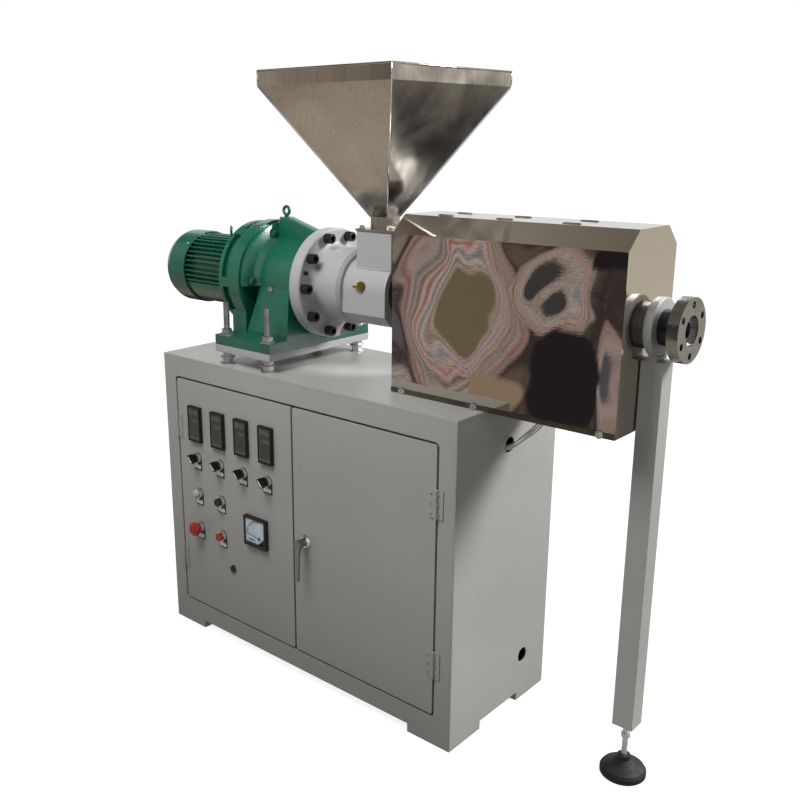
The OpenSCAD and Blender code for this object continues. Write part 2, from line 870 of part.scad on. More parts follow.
module gear_housing() {
    rim = gear_r - 6;
    flare = 34;
    color(enamel_green) placed() difference() {
        union() {
            span([foot_x, foot_y0, cast_z], [foot_x + foot_l, foot_y0 + foot_across, cast_top]);
            on_axis() rotate_extrude() polygon([[0, gear_x1], [rim, gear_x1], [rim, gear_x1 + 12],
                [drum_r + 12, drum_x0 - 4], [drum_r, drum_x0 + 8], [drum_r, adapter_x - flare],
                [adapter_r - 12, adapter_x - 8], [adapter_r - 4, adapter_x], [0, adapter_x]]);
            pedestal();
            ring_cheek();
            eye_hump();
        }
        stud_holes(cast_z, cast_top);
        cheek_hollows();
        disc(foot_x - eps, gear_x1, gear_r + fit_slip);
    }
}

module gear_ring() {
    color(enamel_green) placed() on_axis() rotate_extrude()
        polygon([[0, lantern_x1], [gear_r - 5, lantern_x1], [gear_r, lantern_x1 + 4], [gear_r, gear_x1], [0, gear_x1]]);
}

window_count = 6;
window_turn = 33;
window_w = 22;
window_bridge = 24;
window_depth = 13;

module input_lantern() {
    mid = (lantern_x0 + lantern_x1) / 2;
    color(enamel_green) placed() difference() {
        disc(lantern_x0, lantern_x1, lantern_r);
        difference() {
            disc(mid - window_w / 2, mid + window_w / 2, lantern_r + eps);
            disc(mid - window_w, mid + window_w, lantern_r - window_depth);
            for (i = [0 : window_count - 1]) on_axis(mid) rotate(window_turn + i * 360 / window_count)
                cube([2.2 * lantern_r, window_bridge, 2 * window_w], center = true);
        }
    }
}

module gear_eye() {
    color(enamel_green) placed() translate([eye_x, axis_y, axis_z + gear_r + eye_rise])
        lifting_eye(gear_eye_r, gear_eye_wire, eye_shank);
}

// The motor's finned section: each fin's root and tip in turn
function fin_points(a) = let (root = asin(fin_t / 2 / motor_r), tip = asin(fin_t * 0.4 / fin_r))
    [polar(motor_r, a - root), polar(fin_r, a - tip), polar(fin_r, a + tip), polar(motor_r, a + root)];

// The motor's outline at one fin: plain in the belly below, finned above it
belly_half = 73;
function case_points(a, step) = cos(a) > cos(belly_half)
    ? [for (k = [-0.4, -0.15, 0.1, 0.35]) polar(fin_r, a + k * step)] : fin_points(a);

module fin_section() {
    step = 360 / fin_count;
    polygon([for (i = [0 : fin_count - 1]) each case_points(i * step, step)]);
}

shield_rim = 2;

module motor_case() {
    color(enamel_green) placed() {
        disc(shield_x, lantern_x0, fin_r + shield_rim);
        on_axis(fin_x0) linear_extrude(shield_x - fin_x0 + eps) fin_section();
    }
}

grille_r = 18;
grille_pitch = 12;
grille_slot = 7;
grille_depth = 8;
grille_rings = 5;
grille_rib = 9;

// The air inlet in the cowl's end: rings of slots, crossed by four ribs
module cowl_grille() {
    on_axis(motor_x) difference() {
        rotate_extrude() for (i = [0 : grille_rings - 1])
            translate([grille_r + i * grille_pitch, -eps]) square([grille_slot, grille_depth + eps]);
        for (a = [0, 90]) rotate(a) cube([2 * cowl_r, grille_rib, 4 * grille_depth], center = true);
    }
}

module motor_cowl() {
    edge = 22;
    x1 = motor_x + cowl_l;
    color(enamel_green) placed() difference() {
        on_axis() rotate_extrude()
            polygon([[0, motor_x], [cowl_r - edge, motor_x], [cowl_r - 6, motor_x + 7], [cowl_r, motor_x + edge],
                [cowl_r, x1], [fin_r + slip, x1], [fin_r + slip, fin_x0], [0, fin_x0]]);
        cowl_grille();
    }
}

module motor_eye() {
    color(enamel_green) placed() translate([motor_eye_x, axis_y, axis_z + fin_r]) rotate(motor_eye_turn)
        lifting_eye(motor_eye_r, motor_eye_wire, eye_shank);
}

terminal_l = 104;
terminal_h = 84;
terminal_d = 46;
terminal_lid = 16;
terminal_lip = 6;

module terminal_box() {
    x = (fin_x0 + lantern_x0) / 2;
    y0 = axis_y + fin_r;
    l = terminal_l / 2;
    h = terminal_h / 2;
    color(enamel_green) placed() {
        span([x - l, y0, axis_z - h], [x + l, y0 + terminal_d, axis_z + h]);
        span([x - l - terminal_lip, y0 + terminal_d, axis_z - h - terminal_lip],
            [x + l + terminal_lip, y0 + terminal_d + terminal_lid, axis_z + h + terminal_lip]);
    }
}

// Feed and barrel

module adapter_flange() {
    color(casting_grey) placed() on_axis() rotate_extrude()
        polygon([[0, adapter_x], [adapter_r - 2, adapter_x], [adapter_r, adapter_x + 2],
            [adapter_r, neck_x - 3], [adapter_r - 3, neck_x],
            each arc([neck_r + neck_fillet, neck_x + neck_fillet], neck_fillet, 270, 180),
            [neck_r, housing_x - 8], [neck_r - 8, housing_x], [0, housing_x]]);
}

// The feed housing's section: a round top over a square bottom with cut corners
module housing_section() {
    side = housing_r - housing_cut;
    circle(r = housing_r);
    polygon([[-housing_r, 0], [-housing_r, -side], [-side, -housing_r], [side, -housing_r],
        [housing_r, -side], [housing_r, 0]]);
}

module feed_housing() {
    color(casting_grey) placed() difference() {
        union() {
            translate([housing_x, axis_y, axis_z]) rotate([90, 0, 90]) linear_extrude(housing_l) housing_section();
            span([box_x - box_w / 2, axis_y - box_w / 2, axis_z], [box_x + box_w / 2, axis_y + box_w / 2, box_top]);
        }
        span([hopper_x - throat_w / 2 + hopper_t, axis_y - throat_w / 2 + hopper_t, axis_z],
            [hopper_x + throat_w / 2 - hopper_t, axis_y + throat_w / 2 - hopper_t, box_top + eps]);
        translate([fitting_x, fitting_y, fitting_z]) rotate([90, 0, 0]) cylinder(h = housing_r, d = spot_face_d);
    }
}

module cooling_fitting() {
    color(brass) placed() translate([fitting_x, fitting_y, fitting_z]) rotate([90, 0, 0]) {
        cylinder(h = plug_h, d = plug_d);
        hex(0.6 * plug_d, 2.6 * plug_h);
        translate([0, 0, 2.4 * plug_h]) cylinder(h = plug_h, d = 2 * barb_d);
        translate([0, 0, 2.7 * plug_h]) rotate([0, -90, 0]) cylinder(h = barb_l, d = barb_d);
    }
}

// A four-sided funnel between two rectangles
module funnel(w0, d0, w1, d1, z0, z1) {
    hull() {
        translate([-w0 / 2, -d0 / 2, z0]) cube([w0, d0, 0.01]);
        translate([-w1 / 2, -d1 / 2, z1 - 0.01]) cube([w1, d1, 0.01]);
    }
}

module hopper() {
    z1 = throat_top + slope_h;
    t2 = 2 * hopper_t;
    color(steel) placed() translate([hopper_x, axis_y, 0]) difference() {
        union() {
            funnel(throat_w, throat_w, hopper_w, hopper_d, throat_top, z1);
            span([-hopper_w / 2, -hopper_d / 2, z1 - 0.01], [hopper_w / 2, hopper_d / 2, hopper_top]);
        }
        funnel(throat_w - t2, throat_w - t2, hopper_w - t2, hopper_d - t2, throat_top - 0.005, z1 + 0.005);
        span([-hopper_w / 2 + hopper_t, -hopper_d / 2 + hopper_t, z1 - 0.02],
            [hopper_w / 2 - hopper_t, hopper_d / 2 - hopper_t, hopper_top + eps]);
        translate([-throat_w / 2 + hopper_t, -throat_w / 2 + hopper_t, throat_top - eps])
            cube([throat_w - t2, throat_w - t2, 1]);
    }
}

module hopper_throat() {
    t = throat_w / 2;
    bore = t - hopper_t;
    half = box_w / 2 + feed_plate_over;
    color(steel) placed() difference() {
        union() {
            span([hopper_x - t, axis_y - t, box_top], [hopper_x + t, axis_y + t, throat_top]);
            span([box_x - half, axis_y - half, box_top], [box_x + half, axis_y + half, box_top + feed_plate_t]);
        }
        span([hopper_x - bore, axis_y - bore, box_top - eps], [hopper_x + bore, axis_y + bore, throat_top + eps]);
    }
}

collar_l = 16;
barrel_end = 40;

module barrel_collar() {
    color(steel) placed() difference() {
        disc(housing_x1, housing_x1 + collar_l, collar_r);
        disc(housing_x1 - eps, housing_x1 + collar_l + eps, barrel_r + slip);
    }
}

module barrel() {
    color(steel) placed() difference() {
        disc(housing_x1, disc_x, barrel_r);
        disc(housing_x1 + barrel_end, disc_x + eps, barrel_bore_r);
    }
}

// Guard

// The bent cover's section in Y and Z, from its lower edge: front, sloping edges, top and back
module cover_section(inset, base) {
    d = guard_d - 2 * inset;
    h = guard_h - inset;
    translate([inset, 0]) polygon([[0, base], [d, base], [d, h - chamfer_z], [d - chamfer_y, h],
        [chamfer_y, h], [0, h - chamfer_z]]);
}

// Extrudes a section of the guard along the barrel
module guard_run(x0, x1) {
    translate([x0, guard_y0, cabinet_h]) rotate([90, 0, 90]) linear_extrude(x1 - x0) children();
}

module guard_cover() {
    color(steel) placed() guard_run(guard_x, guard_x1) difference() {
        cover_section(0, guard_t);
        cover_section(guard_t, 0);
    }
}

// An end plate inside the cover, with the barrel's hole
module guard_end(x) {
    difference() {
        guard_run(x, x + guard_t) cover_section(guard_t, guard_t);
        disc(x - eps, x + guard_t + eps, barrel_r + slip);
    }
}

module guard_rear_end() { color(steel) placed() guard_end(guard_x); }

module guard_die_end() { color(steel) placed() guard_end(guard_x1 - guard_t); }

// The tray that the cover stands in
module guard_bottom() {
    color(steel) placed() guard_run(guard_x, guard_x1) difference() {
        translate([-guard_t, 0]) square([guard_d + 2 * guard_t, tray_lip]);
        translate([0, guard_t]) square([guard_d, tray_lip]);
    }
}

// Die and leg

module barrel_disc() {
    color(casting_grey) placed() difference() {
        on_axis() rotate_extrude() polygon([[0, disc_x], [disc_r - 2, disc_x], [disc_r, disc_x + 2],
            [disc_r, die_neck_x - 2], [disc_r - 2, die_neck_x], [0, die_neck_x]]);
        disc(disc_x - eps, die_neck_x + eps, barrel_bore_r);
    }
}

module die_neck() {
    color(zinc) placed() difference() {
        disc(die_neck_x, die_x, die_neck_r);
        disc(die_neck_x - eps, die_x + eps, barrel_bore_r);
    }
}

die_seat_depth = 9;
die_bore_r = 15;

module die_flange() {
    color(steel) placed() difference() {
        disc(die_x, die_face_x, die_r);
        disc(die_x - eps, die_face_x + eps, die_bore_r);
        disc(die_face_x - die_seat_depth, die_face_x + eps, die_seat_r);
        on_axis(die_x - eps) for (i = [0:5]) rotate(i * 60) translate([die_bolt_r, 0, 0])
            cylinder(h = die_t + 2 * eps, d = die_hole_d);
    }
}

module support_leg() {
    h = leg_w / 2;
    color(paint_grey) placed() difference() {
        union() {
            span([leg_x - h, axis_y - h, leg_z], [leg_x + h, axis_y + h, leg_top]);
            span([leg_x - disc_t / 2, axis_y - h, leg_top - eps], [leg_x + disc_t / 2, axis_y + h, axis_z - disc_r + 8]);
        }
        disc(disc_x - eps, die_neck_x + eps, disc_r);
        span([leg_x - h + leg_t, axis_y - h + leg_t, leg_z - eps],
            [leg_x + h - leg_t, axis_y + h - leg_t, leg_top - saddle_t]);
    }
}

module leg_stud() {
    plug = leg_w - 2 * leg_t;
    plug_h = 12;
    lock_nut_drop = 32;
    color(zinc) placed() translate([leg_x, axis_y, 0]) {
        span([-plug / 2, -plug / 2, leg_z], [plug / 2, plug / 2, leg_z + plug_h]);
        translate([0, 0, pad_h]) cylinder(h = leg_z - pad_h + eps, d = leg_stud_d);
        translate([0, 0, leg_z - lock_nut_drop]) hex(1.5 * leg_stud_d, 0.8 * leg_stud_d);
    }
}

module foot_pad() {
    r = pad_d / 2;
    color(black) placed() translate([leg_x, axis_y, 0]) rotate_extrude()
        polygon([[0, 0], [r - 2, 0], [r, 2], [r, 12], [r - 4, 18], [r * 0.5, 28], [r * 0.3, 36],
            [r * 0.28, pad_h], [0, pad_h]]);
}

// Heater leads

lead_d = 16;
lead_sides = 8;
// Route from inside the right wall's hole up to the guard's underside, from the hole's place at the top
lead_points = [[-17, 0, -110], [-7, 0, -107], [3, 0, -102], [13, 0.5, -95], [22, 1, -87], [31, 2, -78.5],
    [40, 3, -70], [49, 4, -61.5], [57.5, 5, -53], [65.5, 6, -44], [73, 7, -35], [79.5, 8, -26], [84.5, 8.5, -17],
    [87, 9, -9], [87, 9, 0]];
lead_route = [for (p = lead_points) p + [cabinet_w, lead_hole_y, cabinet_h]];

function unit(v) = v / norm(v);
function lead_dir(i) = unit(lead_route[min(i + 1, len(lead_route) - 1)] - lead_route[max(i - 1, 0)]);
function lead_ring(i) = let (side = unit(cross(lead_dir(i), [0, 1, 0])), up = cross(side, lead_dir(i)))
    [for (k = [0 : lead_sides - 1]) lead_route[i]
        + lead_d / 2 * (cos(360 * k / lead_sides) * side + sin(360 * k / lead_sides) * up)];

module heater_leads() {
    n = len(lead_route);
    points = [for (i = [0 : n - 1]) each lead_ring(i)];
    walls = [for (i = [0 : n - 2]) for (k = [0 : lead_sides - 1])
        let (a = i * lead_sides + k, b = i * lead_sides + (k + 1) % lead_sides)
            [a, b, b + lead_sides, a + lead_sides]];
    start = [for (k = [lead_sides - 1 : -1 : 0]) k];
    finish = [for (k = [0 : lead_sides - 1]) (n - 1) * lead_sides + k];
    color(white) placed() polyhedron(points = points, faces = concat(walls, [start], [finish]));
}

cabinet_top();
cabinet_floor();
cabinet_back();
cabinet_side_left();
cabinet_side_right();
front_header();
front_sill();
front_stiles();
frame_hinges();
base_plate();
levelling_studs();
gear_housing();
gear_ring();
input_lantern();
gear_eye();
motor_case();
motor_cowl();
motor_eye();
terminal_box();
adapter_flange();
feed_housing();
cooling_fitting();
hopper();
hopper_throat();
barrel();
barrel_collar();
guard_cover();
guard_rear_end();
guard_die_end();
guard_bottom();
barrel_disc();
die_neck();
die_flange();
support_leg();
leg_stud();
foot_pad();
heater_leads();
control_door();
temperature_controllers();
meter_case();
meter_dial();
label_plates();
control_rings();
indicator_lamp();
door_lock();
plain_door();
handle_rosette();
lock_lever();
selector_1();
selector_2();
selector_3();
selector_4();
start_button();
stop_button();
emergency_stop();
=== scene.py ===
"""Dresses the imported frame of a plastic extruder: finishes, fasteners, controls, leads and a studio."""

from functools import cached_property
from math import cos, pi, radians, sin, sqrt, tau

import bmesh
import bpy
from bpy.props import FloatProperty, FloatVectorProperty, IntProperty, PointerProperty
from mathutils import Matrix, Vector


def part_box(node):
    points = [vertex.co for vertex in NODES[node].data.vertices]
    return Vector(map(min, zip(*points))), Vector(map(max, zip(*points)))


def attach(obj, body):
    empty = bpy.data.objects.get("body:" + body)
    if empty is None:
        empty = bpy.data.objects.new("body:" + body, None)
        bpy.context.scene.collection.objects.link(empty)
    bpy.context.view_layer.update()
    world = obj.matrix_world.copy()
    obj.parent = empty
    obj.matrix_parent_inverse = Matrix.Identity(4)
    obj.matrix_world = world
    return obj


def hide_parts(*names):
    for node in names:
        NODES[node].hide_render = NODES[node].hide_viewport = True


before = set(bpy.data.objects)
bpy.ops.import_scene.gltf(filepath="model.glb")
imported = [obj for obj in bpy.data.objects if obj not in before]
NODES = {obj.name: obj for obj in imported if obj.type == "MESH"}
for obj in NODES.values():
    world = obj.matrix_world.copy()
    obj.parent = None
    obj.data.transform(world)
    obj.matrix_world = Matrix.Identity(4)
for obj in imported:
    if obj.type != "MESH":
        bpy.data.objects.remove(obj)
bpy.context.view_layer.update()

bl_info = {
    "name": "Plastic Extruder",
    "version": (1, 0, 0),
    "blender": (4, 5, 0),
    "location": "View3D > Sidebar > Extruder",
    "description": "Dresses the frame of a plastic extruder with finishes, fasteners, controls and a studio",
    "category": "Object",
}

OUT, BACK, UP = Vector((1, 0, 0)), Vector((0, 1, 0)), Vector((0, 0, 1))


def corners(node):
    """Gives a node's lowest and highest corners"""
    low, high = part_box(node)
    return Vector(low), Vector(high)


def middle(node):
    """Gives the middle of a node's box"""
    low, high = corners(node)
    return (low + high) / 2


AXIS = middle("barrel")
FRONT = corners("cabinet_side_left")[0].y
TOP = corners("cabinet_top")[1].z
HOME = Vector((corners("cabinet_side_left")[0].x, FRONT, 0))


def shade(red, green, blue):
    """Turns a colour from 0 to 255 on a screen into the linear colour that a shader takes"""
    return tuple((c / 255 / 12.92) if c < 10.3 else ((c / 255 + 0.055) / 1.055) ** 2.4
                 for c in (red, green, blue))


def amount(name, text, default, **kind):
    """Declares a number"""
    return FloatProperty(name=name, description=text, default=default, **kind)


def length(name, text, default):
    """Declares a size in metres"""
    return amount(name, text, default, unit="LENGTH", precision=4)


def angle(name, text, degrees):
    """Declares an angle"""
    return amount(name, text, radians(degrees), subtype="ANGLE")


def power(name, text, watts):
    return amount(name, text, watts, unit="POWER")


def colour(name, text, default):
    """Declares a colour"""
    return FloatVectorProperty(name=name, description=text, default=default, subtype="COLOR", min=0, max=1)


class ExtruderSizes(bpy.types.PropertyGroup):
    """Sizes of the pieces that dress the frame"""

    flange_head: length("Flange screw head", "Diameter of the socket heads on the adapter flange", 0.024)
    flange_circle: length("Flange screw circle", "Radius on which the flange screws stand", 0.118)
    flange_count: IntProperty(name="Flange screws", description="Socket screws round the adapter flange",
                              default=10, min=3, max=24)
    flange_thick: length("Flange thickness", "Thickness of the adapter flange under the heads", 0.034)
    ring_flats: length("Ring bolt flats", "Width across the flats of the gear ring's bolts", 0.017)
    ring_circle: length("Ring bolt circle", "Radius on which the gear ring's bolts stand", 0.117)
    plug_flats: length("Oil plug flats", "Width across the flats of the oil plug", 0.014)
    plate_flats: length("Throat bolt flats", "Width across the flats of the throat plate's bolts", 0.010)
    stud_pitch: length("Thread pitch", "Pitch of the thread on the studs", 0.00175)
    seam: length("Hopper seam", "Radius of the welded seams on the hopper's corners", 0.0022)
    lead: length("Lead diameter", "Diameter of one braided heater lead", 0.0038)
    lead_count: IntProperty(name="Heater leads", description="Leads in the bundle", default=4, min=1, max=6)
    label: length("Label width", "Width of the blank label under a control", 0.025)
    hinge_screw: length("Hinge screw", "Diameter of the hinge screws", 0.0045)
    edge: length("Sheet edge", "Radius of the folded edges of the sheet metal", 0.0020)
    casting_edge: length("Casting edge", "Radius of the cast edges", 0.0035)


class ExtruderFinishes(bpy.types.PropertyGroup):
    """Colours of the finishes"""

    cabinet: colour("Cabinet paint", "Warm grey of the sheet-metal cabinet", shade(163, 163, 159))
    casting: colour("Casting paint", "Light grey of the adapter and feed housing", shade(164, 165, 164))
    green: colour("Drive enamel", "Green of the motor and gearbox", shade(16, 90, 70))
    stainless: colour("Stainless sheet", "Tint of the hopper and guard", shade(214, 208, 198))
    steel: colour("Turned steel", "Tint of the die flange", shade(156, 155, 154))
    zinc: colour("Zinc plate", "Tint of the studs and nuts", shade(222, 224, 227))
    chrome: colour("Chrome", "Tint of the rings, the rosette and the hopper's seams", shade(226, 227, 230))
    black: colour("Black moulding", "Black of the moulded controls", shade(17, 17, 18))
    rubber: colour("Rubber", "Black of the foot pad", shade(28, 28, 29))
    red: colour("Red moulding", "Red of the stop controls", shade(158, 42, 42))
    button_green: colour("Start button", "Dark green of the start button", shade(12, 36, 29))
    white: colour("White moulding", "White of the labels and the selectors' lines", shade(250, 250, 249))
    leads: colour("Braided sleeve", "White of the heater leads", shade(250, 249, 245))
    brass: colour("Brass", "Tint of the cooling fitting", shade(196, 172, 118))


class ExtruderStage(bpy.types.PropertyGroup):
    """Camera and light"""

    camera_place: FloatVectorProperty(name="Camera", description="Place from the cabinet's front left foot",
                                      size=3, default=(2.035333, -1.506386, 1.334517), subtype="TRANSLATION")
    azimuth: angle("Azimuth", "Turn of the camera from the front", 41.851)
    elevation: angle("Elevation", "Height of the camera over the horizon", 15.422)
    roll: angle("Roll", "Turn of the camera about its line of sight", -0.137)
    lens: amount("Lens", "Focal length on a 36 mm sensor", 42.667, unit="CAMERA")
    shift: FloatVectorProperty(name="Shift", description="Shift of the lens across and up", size=2,
                               default=(0.0564, -0.0042))
    key: power("Key light", "Power of the soft light at the back right", 235.0)
    fill: power("Fill light", "Power of the soft light at the front", 10.0)
    overhead: power("Overhead light", "Power of the light above the doors", 30.0)
    air: amount("Even light", "Strength of the light from all round", 0.29)
    gleam: amount("Gleam", "Brightness of the air that glossy faces mirror", 0.82)


def sizes():
    """Gives the sizes that the sidebar shows"""
    return bpy.context.scene.extruder_sizes


def colours():
    """Gives the colours that the sidebar shows"""
    return bpy.context.scene.extruder_finishes


# Modelling steps


def start():
    """Goes to object mode with nothing selected"""
    if bpy.context.mode != "OBJECT":
        bpy.ops.object.mode_set(mode="OBJECT")
    bpy.ops.object.select_all(action="DESELECT")


def disc(radius, height, sides, base=(0, 0, 0)):
    """Adds a round or many-sided bar that stands on its base"""
    start()
    bpy.ops.mesh.primitive_cylinder_add(vertices=sides, radius=radius, depth=height,
                                        location=Vector(base) + UP * height / 2)
    bpy.ops.object.transform_apply(location=True, rotation=True, scale=True)
    return bpy.context.object


def block(low, high):
    """Adds a box between two corners"""
    start()
    low, high = Vector(low), Vector(high)
    bpy.ops.mesh.primitive_cube_add(size=1, location=(low + high) / 2)
    bpy.context.object.scale = high - low
    bpy.ops.object.transform_apply(location=True, rotation=True, scale=True)
    return bpy.context.object


def pick(piece, kind, test):
    """Opens a piece and selects the faces or edges whose middle and direction pass the test"""
    bpy.context.view_layer.objects.active = piece
    if bpy.context.mode != "EDIT_MESH":
        bpy.ops.object.mode_set(mode="EDIT")
    bpy.ops.mesh.select_mode(type=kind)
    bpy.ops.mesh.select_all(action="DESELECT")
    mesh = bmesh.from_edit_mesh(piece.data)
    if kind == "FACE":
        found = [f for f in mesh.faces if test(f.calc_center_median(), f.normal)]
    else:
        found = [e for e in mesh.edges
                 if test((e.verts[0].co + e.verts[1].co) / 2, (e.verts[1].co - e.verts[0].co).normalized())]
    for element in found:
        element.select_set(True)
    mesh.select_flush_mode()
    bmesh.update_edit_mesh(piece.data)


def facing(way):
    """Makes a test for the faces that look along a way"""
    return lambda place, normal: normal.dot(way) > 0.9


def sink(piece, test, rim, move):
    """Insets the faces that pass the test by a rim and moves them"""
    pick(piece, "FACE", test)
    bpy.ops.mesh.inset(thickness=rim)
    bpy.ops.mesh.extrude_region_move(TRANSFORM_OT_translate={"value": tuple(move)})
    bpy.ops.object.mode_set(mode="OBJECT")
    return piece


def soften(piece, width, test=None, steps=2):
    """Rounds the edges of a piece that pass the test, or all of them"""
    pick(piece, "EDGE", test or (lambda place, way: True))
    bpy.ops.mesh.bevel(offset=width, segments=steps, affect="EDGES", clamp_overlap=True)
    bpy.ops.object.mode_set(mode="OBJECT")
    return piece


def level_rim(height):
    """Makes a test for the edges of a rim that lies level at a height"""
    return lambda place, way: abs(place.z - height) < 1e-6 and abs(way.z) < 1e-3


def cut(piece, tool):
    """Cuts one piece out of another and throws the tool away"""
    start()
    bpy.context.view_layer.objects.active = piece
    piece.select_set(True)
    taken = piece.modifiers.new("cut", "BOOLEAN")
    taken.operation, taken.object, taken.solver = "DIFFERENCE", tool, "EXACT"
    bpy.ops.object.modifier_apply(modifier=taken.name)
    bpy.data.objects.remove(tool)
    return piece


def join(parts):
    """Joins pieces into the first of them"""
    start()
    for part in parts:
        part.select_set(True)
    bpy.context.view_layer.objects.active = parts[0]
    if len(parts) > 1:
        bpy.ops.object.join()
    return parts[0]


def coat(piece, finish):
    """Gives a whole piece one finish"""
    piece.data.materials.clear()
    piece.data.materials.append(bpy.data.materials[finish])
    return piece


def standing(place, way):
    """Gives the placing that stands an upright piece on a place, along a way"""
    return Matrix.Translation(place) @ Vector(way).to_track_quat("Z", "Y").to_matrix().to_4x4()


def copies(model, placings):
    """Copies a modelled piece to each placing, each with its own mesh, and joins them"""
    made = []
    for placing in placings:
        twin = model.copy()
        twin.data = model.data.copy()
        twin.data.transform(placing)
        bpy.context.collection.objects.link(twin)
        made.append(twin)
    bpy.data.objects.remove(model)
    return join(made)


def keep(piece, name, body, finish=None, crease=32):
    """Names a finished piece, smooths it and lets it ride on its body"""
    start()
    piece.select_set(True)
    bpy.context.view_layer.objects.active = piece
    bpy.ops.object.transform_apply(location=True, rotation=True, scale=True)
    if finish:
        coat(piece, finish)
    bpy.ops.object.shade_smooth_by_angle(angle=radians(crease))
    piece.name = piece.data.name = name
    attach(piece, body)
    return piece


def fixings(name, model, placings, body="machine", finish="zinc_plate"):
    """Sets copies of one modelled fixing and keeps them as one piece"""
    return keep(copies(model, placings), name, body, finish)


def socket_head(diameter):
    """Models a socket head that stands on its bearing face"""
    height = diameter * 0.86
    head = soften(disc(diameter / 2, height, 28), diameter * 0.07, level_rim(height))
    return cut(head, disc(diameter * 0.33, height, 6, (0, 0, height * 0.42)))


def hex_head(flats, height, washer):
    """Models a hexagon head with its chamfered crown, on a washer"""
    head = soften(disc(flats / sqrt(3), height, 6), flats * 0.07, level_rim(height), 1)
    ring = soften(disc(flats * 0.82, washer, 28), washer * 0.3, level_rim(washer), 1)
    head.data.transform(Matrix.Translation(UP * washer))
    return join([head, ring])


def pan_head(diameter, slot_turn):
    """Models a low round head with a driver slot"""
    height = diameter * 0.34
    head = soften(disc(diameter / 2, height, 20), height * 0.7, level_rim(height), 3)
    blade = block((-diameter, -diameter * 0.07, height * 0.5), (diameter, diameter * 0.07, height * 2))
    blade.data.transform(Matrix.Rotation(slot_turn, 4, "Z"))
    return cut(head, blade)


def threaded(diameter, pitch, height):
    """Models a threaded bar from one thread, repeated up its height"""
    start()
    crest, root = 1.0, 0.86
    bpy.ops.mesh.primitive_circle_add(vertices=16, radius=diameter / 2 * root)
    bar = bpy.context.object
    bpy.ops.object.mode_set(mode="EDIT")
    bpy.ops.mesh.select_all(action="SELECT")
    for grow in (crest / root, root / crest):
        bpy.ops.mesh.extrude_region_move(TRANSFORM_OT_translate={"value": (0, 0, pitch / 2)})
        bpy.ops.transform.resize(value=(grow, grow, 1))
    bpy.ops.object.mode_set(mode="OBJECT")
    turns = bar.modifiers.new("turns", "ARRAY")
    turns.use_relative_offset = False
    turns.use_constant_offset = True
    turns.constant_offset_displace = (0, 0, pitch)
    turns.count = max(1, int(height / pitch))
    turns.use_merge_vertices = True
    turns.merge_threshold = pitch * 0.05
    bpy.ops.object.modifier_apply(modifier=turns.name)
    end = max(v.co.z for v in bar.data.vertices)
    foot_rim, end_rim = level_rim(0), level_rim(end)
    pick(bar, "EDGE", lambda place, way: foot_rim(place, way) or end_rim(place, way))
    bpy.ops.mesh.edge_face_add()
    bpy.ops.mesh.select_all(action="SELECT")
    bpy.ops.mesh.normals_make_consistent(inside=False)
    bpy.ops.object.mode_set(mode="OBJECT")
    return bar


def rod(a, b, radius, sides=10):
    """Adds a bar with rounded ends from one point to another"""
    a, b = Vector(a), Vector(b)
    bar = soften(disc(radius, (b - a).length, sides), radius * 0.4,
                 lambda place, way: abs(way.z) < 1e-3, 1)
    bar.data.transform(standing(a, b - a))
    return bar


# Finishes


